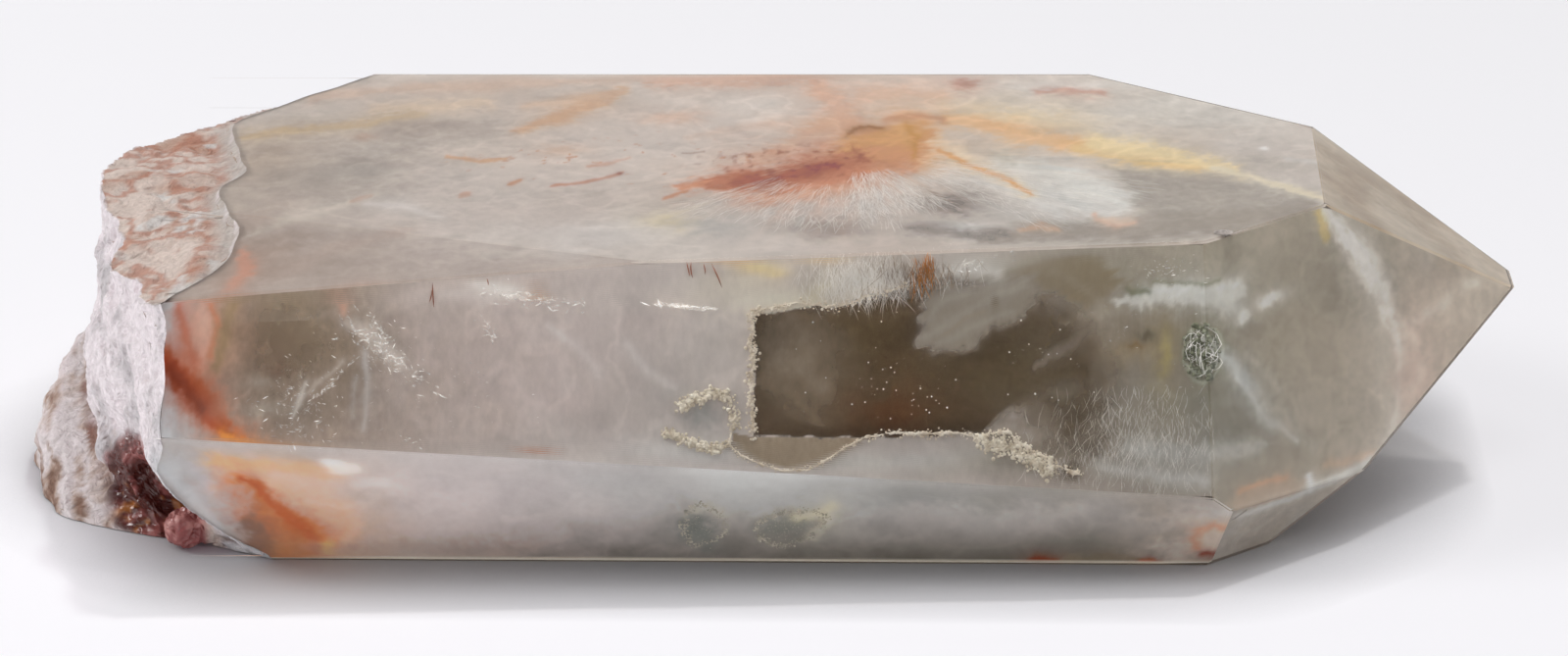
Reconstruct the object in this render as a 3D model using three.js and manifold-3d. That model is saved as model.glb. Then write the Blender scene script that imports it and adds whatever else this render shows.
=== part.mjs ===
// Amphibole in quartz: one tabular quartz crystal that lies on a prism face.
// Its prism and tip faces are polished flat. The other end is left as the
// crystal broke from its vein: a lumpy crust with ledges, a worn shoulder, a
// crease, a glassy hollow and a small knob beside it.
// Millimetres. X runs along the crystal's long axis with the tip at +X, Z is up,
// and the origin is on the resting face, in the middle of the crystal's box.
import * as THREE from "three";
import { ConvexGeometry } from "three/addons/geometries/ConvexGeometry.js";
import { mergeVertices } from "three/addons/utils/BufferGeometryUtils.js";
import Module from "manifold-3d";

// Each flat face: turn is its direction around the long axis (0 is +Y, the back,
// and 90 is up), lean is how far it tips towards the crystal's point, both in
// degrees, and reach is its distance from the crystal's heart.
const HEART = new THREE.Vector3(0, 0, 10);
const FACES = {
  rest: { turn: 270, lean: 0, reach: 10 },
  top: { turn: 88.1, lean: -0.9, reach: 9.55 },
  topFrontLeft: { turn: 92.7, lean: -2.8, reach: 11.43 },
  upperFront: { turn: 150.8, lean: 2.9, reach: 22.31 },
  lowerFront: { turn: 207.3, lean: -0.8, reach: 24.86 },
  upperBack: { turn: 30.1, lean: 2.1, reach: 22.91 },
  lowerBack: { turn: 330, lean: 0, reach: 23.4 },
  tipTop: { turn: 88.9, lean: 31.9, reach: 28.11 },
  tipUpperFront: { turn: 149.7, lean: 38.2, reach: 33.93 },
  tipLowerFront: { turn: 216.8, lean: 34.3, reach: 36.43 },
  tipRest: { turn: 270.1, lean: 34.5, reach: 26.78 },
  tipUpperBack: { turn: 30.1, lean: 37.2, reach: 31.09 },
  tipLowerBack: { turn: 330, lean: 38.2, reach: 33.4 },
  vein: { turn: 0, lean: -90, reach: 56 }, // where it grew; broken away below
};

// The broken end as seen from above: [y, x] points of its outline where the
// polished top stops and where the crystal meets the table.
const RIM_OUTLINE = [
  [-30, -39], [-23.4, -40.2], [-18, -42], [-13, -43.4], [-5, -44.8], [0, -45], [6, -45],
  [8.6, -43.4], [14, -38.2], [23, -30], [31, -26],
];
const FOOT_OUTLINE = [
  [-30, -27], [-24.5, -29.4], [-22.4, -32.2], [-19.8, -37.2], [-18.6, -41], [-15.2, -44.6],
  [-12.6, -46], [-7, -47.6], [-2, -48], [4, -47.2], [12, -43.8], [20, -38.6], [31, -31.5],
];
// The foot spreads below FLARE_HEIGHT: late near the front corner, which hangs
// over the table, and evenly further back.
const FLARE_HEIGHT = 19;
const FLARE_POWER = { front: 5.7, back: 2.2, from: -24, to: -14 };

// Relief of the broken end: swelling lumps, smaller knots and stepped ledges.
const LUMP = { size: 8.5, depth: 0.8, seed: 3 };
const KNOT = { size: 3.6, depth: 0.6, seed: 11 };
const GRAIN = { size: 1.6, depth: 0.3, seed: 23 };
const LEDGE = { size: 9, depth: 1.8, steps: 3, seed: 31 };

// The crease between the crust and the fibrous lump at the foot, as [y, z], and
// how far the lump stands out beside it.
const CREASE = { from: [-3, 6.8], to: [-18.8, 0.6], width: 1, depth: 1.4 };
const FOOT_LUMP = { height: 1.9, shoulder: 1.8 };

// The worn shoulder: [y, x] points of the line where the polished top gives way.
const SHOULDER_OUTLINE = [
  [-30, -40], [-23.5, -39.4], [-19, -36], [-14, -34.6], [-9, -36.4], [-4.3, -36.9],
  [3, -35.6], [11.5, -36.6], [17, -32.6], [23, -27.5], [31, -22],
];
const SHOULDER_WANDER = 0.8;
const SHOULDER_STEP = 0.45; // the little cliff where the polish stops
const SHOULDER_FALL = 0.04; // millimetres down for each millimetre outwards
const SHOULDER_ROUGH_FROM = 2; // millimetres out from where its lumps are full size
const SHOULDER_LUMP = { size: 4.6, depth: 0.7, seed: 47 };
const SHOULDER_LEDGE = { size: 5.2, depth: 0.5, steps: 2, seed: 53 };

// The hollow of dark glassy quartz at the lower front, and the knob at its end.
const HOLLOW = { centre: [-40.5, -19.5, 3], radii: [5.2, 3.2, 2], tilt: 45 };
const KNOBS = [
  { centre: [-38.4, -19.9, 1.3], radii: [1.3, 1.3, 1.2] },
  { centre: [-36.9, -19.4, 1.2], radii: [1.9, 1.2, 1.1] },
];

// Two little shell-shaped chips along the polished edges near the tip.
const CHIPS = [
  { centre: [29.6, -16.2, 20.9], radii: [0.8, 0.6, 0.6] },
  { centre: [-14.2, -25.5, 20.6], radii: [0.9, 0.35, 0.45] },
];

// The blocks that cut the broken end and the shoulder: their grid spacing and
// how far they reach out past the crystal, and in over its top.
const CUT = { step: 0.85, side: 31, left: -62, under: -2, over: 24, top: 30, shoulderRight: -20 };

const LEDGE_RISER = 0.72; // the part of each ledge that is flat before it steps up
const HOLLOW_DETAIL = 5;
const KNOB_DETAIL = 3;
const CHIP_DETAIL = 2;
const FIT_TOLERANCE = 1e-6;
const SHARED_CORNER = 1e-5; // corners closer than this are one corner of a shape
const MERGE_DISTANCE = 0.02; // and closer than this, of the finished crystal

function faceNormal({ turn, lean }) {
  const t = THREE.MathUtils.degToRad(turn);
  const l = THREE.MathUtils.degToRad(lean);
  return new THREE.Vector3(Math.sin(l), Math.cos(l) * Math.cos(t), Math.cos(l) * Math.sin(t));
}

// The corners where three faces meet and no other face cuts them off.
function crystalCorners() {
  const planes = Object.values(FACES).map((face) => {
    const normal = faceNormal(face);
    return { normal, offset: face.reach + normal.dot(HEART) };
  });
  const corners = [];
  for (let i = 0; i < planes.length; i += 1) {
    for (let j = i + 1; j < planes.length; j += 1) {
      for (let k = j + 1; k < planes.length; k += 1) {
        const corner = meetingPoint(planes[i], planes[j], planes[k]);
        if (corner && planes.every((p) => p.normal.dot(corner) <= p.offset + FIT_TOLERANCE)) {
          corners.push(corner);
        }
      }
    }
  }
  return corners;
}

function meetingPoint(a, b, c) {
  const bc = new THREE.Vector3().crossVectors(b.normal, c.normal);
  const determinant = a.normal.dot(bc);
  if (Math.abs(determinant) < FIT_TOLERANCE) return null;
  const ca = new THREE.Vector3().crossVectors(c.normal, a.normal);
  const ab = new THREE.Vector3().crossVectors(a.normal, b.normal);
  return bc.multiplyScalar(a.offset)
    .add(ca.multiplyScalar(b.offset))
    .add(ab.multiplyScalar(c.offset))
    .divideScalar(determinant);
}

// A repeatable number from 0 to 1 for each point of a square lattice.
function latticeValue(i, j, seed) {
  let h = Math.imul(i, 374761393) ^ Math.imul(j, 668265263) ^ Math.imul(seed, 2246822519);
  h = Math.imul(h ^ (h >>> 13), 1274126177);
  return ((h ^ (h >>> 16)) >>> 0) / 4294967295;
}

// Smooth noise from -1 to 1: lattice values blended between their four corners.
function noise(u, v, { size, seed }) {
  const x = u / size;
  const y = v / size;
  const i = Math.floor(x);
  const j = Math.floor(y);
  const fx = THREE.MathUtils.smoothstep(x - i, 0, 1);
  const fy = THREE.MathUtils.smoothstep(y - j, 0, 1);
  const near = THREE.MathUtils.lerp(latticeValue(i, j, seed), latticeValue(i + 1, j, seed), fx);
  const far = THREE.MathUtils.lerp(latticeValue(i, j + 1, seed), latticeValue(i + 1, j + 1, seed), fx);
  return 2 * THREE.MathUtils.lerp(near, far, fy) - 1;
}

// Noise cut into flat treads with short risers, like broken quartz.
function ledges(u, v, { size, depth, steps, seed }) {
  const level = (noise(u, v, { size, seed }) + 1) * 0.5 * steps;
  const tread = Math.floor(level);
  return depth * ((tread + THREE.MathUtils.smoothstep(level - tread, LEDGE_RISER, 1)) / steps - 0.5);
}

// Value at t of a smooth line through [t, value] points.
function along(points, t) {
  const last = points.length - 1;
  let i = points.findIndex((point) => point[0] > t) - 1;
  if (i < 0) i = t <= points[0][0] ? 0 : last - 1;
  const [t0, v0] = points[i];
  const [t1, v1] = points[i + 1];
  const before = points[Math.max(i - 1, 0)];
  const after = points[Math.min(i + 2, last)];
  const slope0 = (v1 - before[1]) / (t1 - before[0]);
  const slope1 = (after[1] - v0) / (after[0] - t0);
  const span = t1 - t0;
  const s = THREE.MathUtils.clamp((t - t0) / span, 0, 1);
  const s2 = s * s;
  const s3 = s2 * s;
  return (2 * s3 - 3 * s2 + 1) * v0 + (s3 - 2 * s2 + s) * span * slope0
    + (3 * s2 - 2 * s3) * v1 + (s3 - s2) * span * slope1;
}

// The crease's hollow and the lump behind it, as a depth into the crystal.
function creaseAndLump(y, z) {
  const dy = CREASE.to[0] - CREASE.from[0];
  const dz = CREASE.to[1] - CREASE.from[1];
  const length = Math.hypot(dy, dz);
  const lengthwise = ((y - CREASE.from[0]) * dy + (z - CREASE.from[1]) * dz) / length;
  const behind = ((z - CREASE.from[1]) * dy - (y - CREASE.from[0]) * dz) / length;
  const beyond = Math.max(-lengthwise, lengthwise - length, 0);
  const groove = CREASE.depth * Math.exp(-(behind * behind + beyond * beyond) / CREASE.width ** 2);
  const fade = THREE.MathUtils.smoothstep(-lengthwise, 0, 3 * FOOT_LUMP.shoulder);
  return groove - FOOT_LUMP.height * THREE.MathUtils.smoothstep(behind, 0, FOOT_LUMP.shoulder) * (1 - fade);
}

// How far left the broken end reaches at this place across it.
function brokenEnd(y, z) {
  const back = THREE.MathUtils.smoothstep(y, FLARE_POWER.from, FLARE_POWER.to);
  const power = THREE.MathUtils.lerp(FLARE_POWER.front, FLARE_POWER.back, back);
  const flare = THREE.MathUtils.clamp(1 - z / FLARE_HEIGHT, 0, 1) ** power;
  const outline = THREE.MathUtils.lerp(along(RIM_OUTLINE, y), along(FOOT_OUTLINE, y), flare);
  return outline + noise(y, z, LUMP) * LUMP.depth
    + noise(y, z, KNOT) * KNOT.depth
    + noise(y, z, GRAIN) * GRAIN.depth
    + ledges(y, z, LEDGE)
    + creaseAndLump(y, z);
}

// How high the worn shoulder stands here, or above the crystal where it is polished.
function wornShoulder(x, y) {
  const outwards = along(SHOULDER_OUTLINE, y) + SHOULDER_WANDER * noise(x, y, KNOT) - x;
  const top = Math.min(heightOnFace(FACES.top, x, y), heightOnFace(FACES.topFrontLeft, x, y));
  if (outwards < SHOULDER_STEP) return top - outwards;
  const lumps = (noise(x, y, SHOULDER_LUMP) + 1) * 0.5 * SHOULDER_LUMP.depth;
  const rough = THREE.MathUtils.smoothstep(outwards, SHOULDER_STEP, SHOULDER_ROUGH_FROM);
  return top - SHOULDER_STEP - SHOULDER_FALL * outwards
    - rough * (lumps + ledges(x, y, SHOULDER_LEDGE) - noise(x, y, GRAIN) * GRAIN.depth);
}

function heightOnFace(face, x, y) {
  const normal = faceNormal(face);
  const offset = face.reach + normal.dot(HEART);
  return (offset - normal.x * x - normal.y * y) / normal.z;
}

// A closed block between a shaped grid and its flat copy: place(u, v, side) gives
// the point on the shaped side (0), which faces along u x v, or on the flat side (1).
function gridBlock(uFrom, uTo, vFrom, vTo, place) {
  const columns = Math.round((uTo - uFrom) / CUT.step);
  const rows = Math.round((vTo - vFrom) / CUT.step);
  const positions = [];
  const indices = [];
  const at = (i, j, side) => (side * (rows + 1) + j) * (columns + 1) + i;
  for (let side = 0; side < 2; side += 1) {
    for (let j = 0; j <= rows; j += 1) {
      for (let i = 0; i <= columns; i += 1) {
        const u = uFrom + ((uTo - uFrom) * i) / columns;
        const v = vFrom + ((vTo - vFrom) * j) / rows;
        positions.push(...place(u, v, side));
      }
    }
  }
  const quad = (a, b, c, d) => indices.push(a, b, c, a, c, d);
  for (let j = 0; j < rows; j += 1) {
    for (let i = 0; i < columns; i += 1) {
      quad(at(i, j, 0), at(i + 1, j, 0), at(i + 1, j + 1, 0), at(i, j + 1, 0));
      quad(at(i, j, 1), at(i, j + 1, 1), at(i + 1, j + 1, 1), at(i + 1, j, 1));
    }
  }
  for (let i = 0; i < columns; i += 1) {
    quad(at(i, 0, 0), at(i, 0, 1), at(i + 1, 0, 1), at(i + 1, 0, 0));
    quad(at(i, rows, 0), at(i + 1, rows, 0), at(i + 1, rows, 1), at(i, rows, 1));
  }
  for (let j = 0; j < rows; j += 1) {
    quad(at(0, j, 0), at(0, j + 1, 0), at(0, j + 1, 1), at(0, j, 1));
    quad(at(columns, j, 0), at(columns, j, 1), at(columns, j + 1, 1), at(columns, j + 1, 0));
  }
  const geometry = new THREE.BufferGeometry();
  geometry.setAttribute("position", new THREE.Float32BufferAttribute(positions, 3));
  geometry.setIndex(indices);
  return geometry;
}

function ellipsoid({ centre, radii, tilt = 0 }, detail) {
  const geometry = new THREE.IcosahedronGeometry(1, detail);
  geometry.scale(...radii);
  geometry.rotateY(THREE.MathUtils.degToRad(tilt));
  geometry.translate(...centre);
  return geometry;
}

const wasm = await Module();
wasm.setup();

function solidFrom(geometry) {
  const bare = geometry.clone();
  bare.deleteAttribute("normal");
  bare.deleteAttribute("uv");
  const merged = mergeVertices(bare, SHARED_CORNER);
  return new wasm.Manifold(new wasm.Mesh({
    numProp: 3,
    vertProperties: new Float32Array(merged.attributes.position.array),
    triVerts: new Uint32Array(merged.index.array),
  }));
}

// The solid's mesh, with corners closer than MERGE_DISTANCE made one and the
// slivers between them left out.
function geometryFrom(solid) {
  const mesh = solid.getMesh();
  const raw = new THREE.BufferGeometry();
  raw.setAttribute("position", new THREE.BufferAttribute(new Float32Array(mesh.vertProperties), 3));
  raw.setIndex(new THREE.BufferAttribute(new Uint32Array(mesh.triVerts), 1));
  const geometry = mergeVertices(raw, MERGE_DISTANCE);
  const corners = geometry.index.array;
  const kept = [];
  for (let i = 0; i < corners.length; i += 3) {
    const [a, b, c] = corners.slice(i, i + 3);
    if (a !== b && b !== c && c !== a) kept.push(a, b, c);
  }
  geometry.setIndex(kept);
  return geometry;
}

// The block that breaks the left end off: its right side is the broken surface.
function endCutter() {
  const broken = (y, z, side) => [side === 0 ? brokenEnd(y, z) : CUT.left, y, z];
  return gridBlock(-CUT.side, CUT.side, CUT.under, CUT.over, broken);
}

// The block that wears the shoulder down: its underside is the worn surface.
function shoulderCutter() {
  const worn = (y, x, side) => [x, y, side === 0 ? wornShoulder(x, y) : CUT.top];
  return gridBlock(-CUT.side, CUT.side, CUT.left, CUT.shoulderRight, worn);
}

function quartzCrystal() {
  let crystal = solidFrom(new ConvexGeometry(crystalCorners()));
  crystal = crystal.subtract(solidFrom(endCutter()));
  crystal = crystal.subtract(solidFrom(shoulderCutter()));
  crystal = crystal.subtract(solidFrom(ellipsoid(HOLLOW, HOLLOW_DETAIL)));
  for (const chip of CHIPS) {
    crystal = crystal.subtract(solidFrom(ellipsoid(chip, CHIP_DETAIL)));
  }
  for (const knob of KNOBS) {
    crystal = crystal.add(solidFrom(ellipsoid(knob, KNOB_DETAIL)));
  }
  const geometry = geometryFrom(crystal);
  geometry.computeBoundingBox();
  const { min, max } = geometry.boundingBox;
  geometry.translate(-(min.x + max.x) / 2, -(min.y + max.y) / 2, -min.z);
  geometry.computeVertexNormals();
  return geometry;
}

const smokyQuartz = new THREE.MeshStandardMaterial({
  color: 0xb9aea4,
  roughness: 0.12,
  metalness: 0,
  flatShading: true,
});

const specimen = new THREE.Group();
const crystal = new THREE.Mesh(quartzCrystal(), smokyQuartz);
crystal.name = "quartz_crystal";
specimen.add(crystal);

export default specimen;
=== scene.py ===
import math
import bmesh
import bpy
import numpy as np
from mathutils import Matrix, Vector
from mathutils.bvhtree import BVHTree


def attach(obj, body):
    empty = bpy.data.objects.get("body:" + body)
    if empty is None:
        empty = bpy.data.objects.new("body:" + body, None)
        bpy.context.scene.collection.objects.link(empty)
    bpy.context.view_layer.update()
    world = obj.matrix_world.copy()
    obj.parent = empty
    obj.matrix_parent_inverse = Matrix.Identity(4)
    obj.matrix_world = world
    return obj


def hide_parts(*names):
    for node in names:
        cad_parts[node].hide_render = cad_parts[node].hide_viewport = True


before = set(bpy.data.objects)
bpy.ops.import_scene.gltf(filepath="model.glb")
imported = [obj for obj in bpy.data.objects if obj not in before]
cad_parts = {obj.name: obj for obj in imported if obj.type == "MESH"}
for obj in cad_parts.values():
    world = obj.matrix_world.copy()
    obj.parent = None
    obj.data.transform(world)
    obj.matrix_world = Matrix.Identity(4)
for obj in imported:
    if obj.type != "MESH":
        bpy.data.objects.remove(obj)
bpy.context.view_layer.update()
MM = 0.001  # metres in a millimetre; every size below is in millimetres

# The quartz crystal. One smoky quartz that grew in a vein, polished flat on its
# prism and tip faces and left rough where it broke off. The polished faces are
# clear glass to look through; the broken end is a dry, stained crust.
WELD = 0.002
POLISHED = {  # each face's turn around the long axis and lean towards the tip, in degrees
    "rest": (270.0, 0.0), "top": (88.1, -0.9), "top_left": (92.7, -2.8),
    "upper_front": (150.8, 2.9), "lower_front": (207.3, -0.8),
    "upper_back": (30.1, 2.1), "lower_back": (330.0, 0.0),
    "tip_top": (88.9, 31.9), "tip_upper_front": (149.7, 38.2), "tip_lower_front": (216.8, 34.3),
    "tip_rest": (270.1, 34.5), "tip_upper_back": (30.1, 37.2), "tip_lower_back": (330.0, 38.2),
}
ALIKE = math.cos(math.radians(0.35))  # triangles turned less than this from a face's way are its own
BIG = 0.2  # and those above this share of their largest are measured
SAME_WAY = 0.99998
ON_PLANE = 0.004
EDGE_ROUND = 0.1
BROKEN_CUTS = 4
BROKEN_SMOOTHING = 2
WRINKLE = 0.2
RIM_FADE = 0.7


def facing(turn, lean):
    """The unit normal of a face: lean towards +X, and turned around X from +Y to +Z."""
    t, l = math.radians(turn), math.radians(lean)
    return np.array([math.sin(l), math.cos(l) * math.cos(t), math.cos(l) * math.sin(t)])


def read(collection, name, width, kind=np.float64):
    """A mesh collection's property as a numpy array of the given width."""
    values = np.empty(len(collection) * width, kind)
    collection.foreach_get(name, values)
    return values.reshape(-1, width) if width > 1 else values


def find_planes(mesh):
    """Each polished face's exact normal and distance: the mean of the triangles facing its way, by area."""
    normals = read(mesh.polygons, "normal", 3)
    centres = read(mesh.polygons, "center", 3) / MM
    areas = read(mesh.polygons, "area", 1)
    planes = {}
    for name, way in POLISHED.items():
        alike = normals @ facing(*way) > ALIKE
        big = alike & (areas > BIG * areas[alike].max())
        normal = (normals[big] * areas[big, None]).sum(0)
        normal /= np.linalg.norm(normal)
        offset = float(np.average(centres[big] @ normal, weights=areas[big]))
        planes[name] = (normal, offset)
    return planes


def lattice(i, j, k, seed):
    """A repeatable number from 0 to 1 for each whole-numbered point, by multiplying and shifting."""
    h = (i * 374761393 + j * 668265263 + k * 2147483647 + seed * 1274126177) & 0xFFFFFFFF
    h = ((h ^ (h >> 13)) * 1103515245) & 0xFFFFFFFF
    h = ((h ^ (h >> 16)) * 2654435761) & 0xFFFFFFFF
    return ((h ^ (h >> 15)) & 0xFFFFFF) / 0xFFFFFF


def noise(points, size, seed):
    """Smooth noise from -1 to 1: lattice numbers at a cell's eight corners, blended by smoothed distances."""
    cell = points / np.asarray(size, float)
    low = np.floor(cell)
    f = cell - low
    f = f * f * (3 - 2 * f)
    low = low.astype(np.int64)
    total = 0.0
    for di in (0, 1):
        for dj in (0, 1):
            for dk in (0, 1):
                weight = (f[:, 0] if di else 1 - f[:, 0]) * (f[:, 1] if dj else 1 - f[:, 1])
                weight = weight * (f[:, 2] if dk else 1 - f[:, 2])
                total = total + weight * lattice(low[:, 0] + di, low[:, 1] + dj, low[:, 2] + dk, seed)
    return 2 * total - 1


def cloud(points, size, seed, octaves=4):
    """Noise summed over octaves, each half the size and half the strength of the one before."""
    total, strength, reach = 0.0, 1.0, 0.0
    for octave in range(octaves):
        total = total + strength * noise(points, np.asarray(size, float) / 2 ** octave, seed + octave)
        reach += strength
        strength *= 0.5
    return total / reach


def smooth(values, low, high):
    """0 below low, 1 above high, and a smooth ramp between them; it falls where low is the larger."""
    t = np.clip((values - low) / (high - low), 0, 1)
    return t * t * (3 - 2 * t)


def mix(a, b, factor):
    """a where factor is 0 and b where it is 1; colours are rows of three."""
    if np.ndim(a) == 2 or np.shape(b) == (3,):
        factor = factor[:, None]
    return a + (b - a) * factor


def srgb(red, green, blue):
    """A colour given as 0 to 255 display values, as linear light."""
    c = np.array([red, green, blue]) / 255
    return np.where(c <= 0.04045, c / 12.92, ((c + 0.055) / 1.055) ** 2.4)


def near_face(normals, centres, plane):
    """Which faces lie in a plane: their normals agree and their centres are on it."""
    normal, offset = plane
    return (normals @ normal > SAME_WAY) & (np.abs(centres @ normal - offset) < ON_PLANE)


cad_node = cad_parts["quartz_crystal"]
shell = bmesh.new()
shell.from_mesh(cad_node.data)
bmesh.ops.remove_doubles(shell, verts=shell.verts[:], dist=WELD * MM)
bmesh.ops.recalc_face_normals(shell, faces=shell.faces[:])
welded = bpy.data.meshes.new("welded")
shell.to_mesh(welded)
planes = find_planes(welded)
shell.faces.ensure_lookup_table()
normals = read(welded.polygons, "normal", 3)
centres = read(welded.polygons, "center", 3) / MM
on_polish = np.zeros(len(normals), bool)
for plane in planes.values():
    on_polish |= near_face(normals, centres, plane)
solid_tree = BVHTree.FromBMesh(shell)
for face, polished in zip(shell.faces, on_polish):
    face.material_index = 0 if polished else 1
    face.tag = bool(polished)
for normal, offset in planes.values():
    region = [
        face for face in shell.faces
        if face.tag and face.normal.dot(Vector(normal)) > SAME_WAY
        and abs(face.calc_center_median().dot(Vector(normal)) / MM - offset) < ON_PLANE
    ]
    if len(region) > 1:
        bmesh.ops.dissolve_faces(shell, faces=region)
bpy.data.meshes.remove(welded)
arrises = [
    edge for edge in shell.edges
    if len(edge.link_faces) == 2 and all(face.material_index == 0 for face in edge.link_faces)
]
bmesh.ops.bevel(
    shell, geom=arrises, offset=EDGE_ROUND * MM, segments=2, profile=0.5, affect="EDGES",
    clamp_overlap=True)
torn = {edge for face in shell.faces if face.material_index == 1 for edge in face.edges}
bmesh.ops.subdivide_edges(shell, edges=list(torn), cuts=BROKEN_CUTS, use_grid_fill=True)
bmesh.ops.recalc_face_normals(shell, faces=shell.faces[:])
inner = [
    vert for vert in shell.verts
    if vert.link_faces and all(face.material_index == 1 for face in vert.link_faces)
]
for _ in range(BROKEN_SMOOTHING):
    bmesh.ops.smooth_vert(shell, verts=inner, factor=0.5, use_axis_x=True, use_axis_y=True, use_axis_z=True)
crystal_mesh = bpy.data.meshes.new("crystal")
shell.to_mesh(crystal_mesh)
shell.free()


def nearest(points, others, chunk=2000):
    """Distance from each point to the closest of the others, worked out in blocks."""
    out = np.empty(len(points))
    for start in range(0, len(points), chunk):
        block = points[start:start + chunk]
        gap = ((block[:, None] - others[None]) ** 2).sum(2)
        out[start:start + chunk] = np.sqrt(gap.min(1))
    return out


def broken_parts(mesh):
    """Masks of the vertices inside the broken end and on its rim."""
    corner_face = np.repeat(np.arange(len(mesh.polygons)), read(mesh.polygons, "loop_total", 1, np.int32))
    corner_vert = read(mesh.loops, "vertex_index", 1, np.int32)
    rough = read(mesh.polygons, "material_index", 1, np.int32)[corner_face] == 1
    has_rough = np.zeros(len(mesh.vertices), bool)
    has_flat = np.zeros(len(mesh.vertices), bool)
    has_rough[corner_vert[rough]] = True
    has_flat[corner_vert[~rough]] = True
    return has_rough & ~has_flat, has_rough & has_flat


CREASE_FROM = np.array([-3.0, 6.8])
CREASE_TO = np.array([-18.8, 0.6])
HOLLOW_CENTRE = np.array([-41.2, -18.2, 3.3])
HOLLOW_RADII = [4.4, 5.2, 3.9]
KNOB_CENTRE = np.array([-38.0, -19.8, 1.3])
FACETS = 22
FACET_REACH = 1.62


def behind_crease(points):
    """Signed distance in mm from the crease line, seen along X: positive on the lump's side."""
    along = (CREASE_TO - CREASE_FROM) / np.linalg.norm(CREASE_TO - CREASE_FROM)
    offset = points[:, 1:] - CREASE_FROM
    return offset[:, 1] * along[0] - offset[:, 0] * along[1]


def on_shoulder(points, ways):
    """1 on the shoulder beside the top face, 0 on the steep crust below it."""
    return smooth(ways[:, 2], 0.5, 0.8) * smooth(points[:, 2], 15.0, 17.0)


def crust_pits(points):
    """1 in small pits, deepest near the crease and shallow elsewhere."""
    nearness = smooth(behind_crease(points), -6.0, -2.0)
    return smooth(cloud(points, 0.8, 25, 3), 0.28, 0.5) * (0.2 + 0.8 * nearness)


def crust_relief(points, ways, rim_distance):
    """Height of the broken end's skin: ridges that fade at its rim.

    A ridge is 1 minus the size of a noise whose places are bent by a broader noise."""
    bend = np.stack([cloud(points, 3.0, 5, 2), cloud(points, 3.0, 9, 2), cloud(points, 3.0, 15, 2)], 1)
    warped = points + 1.7 * bend
    folds = 1 - np.abs(cloud(warped, [0.8, 1.0, 1.0], 21, 3)) * 2.8
    pits = crust_pits(points)
    along = np.stack([points[:, 0], behind_crease(points), points[:, 2] * 0.3], 1)
    fibres = noise(along, [0.8, 0.35, 2.5], 33)
    chips = 2.2 * np.abs(cloud(points + 1.2 * bend, [2.2, 2.2, 2.2], 45, 3)) - 0.6
    lump = smooth(behind_crease(points), 0, 1.2)
    top = on_shoulder(points, ways)
    height = (1 - lump) * (folds - 1.1 * pits) + lump * (0.5 * folds + 1.1 * fibres)
    height = mix(height, chips + 0.25 * folds, top)
    return WRINKLE * height * smooth(rim_distance, 0, RIM_FADE)


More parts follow.
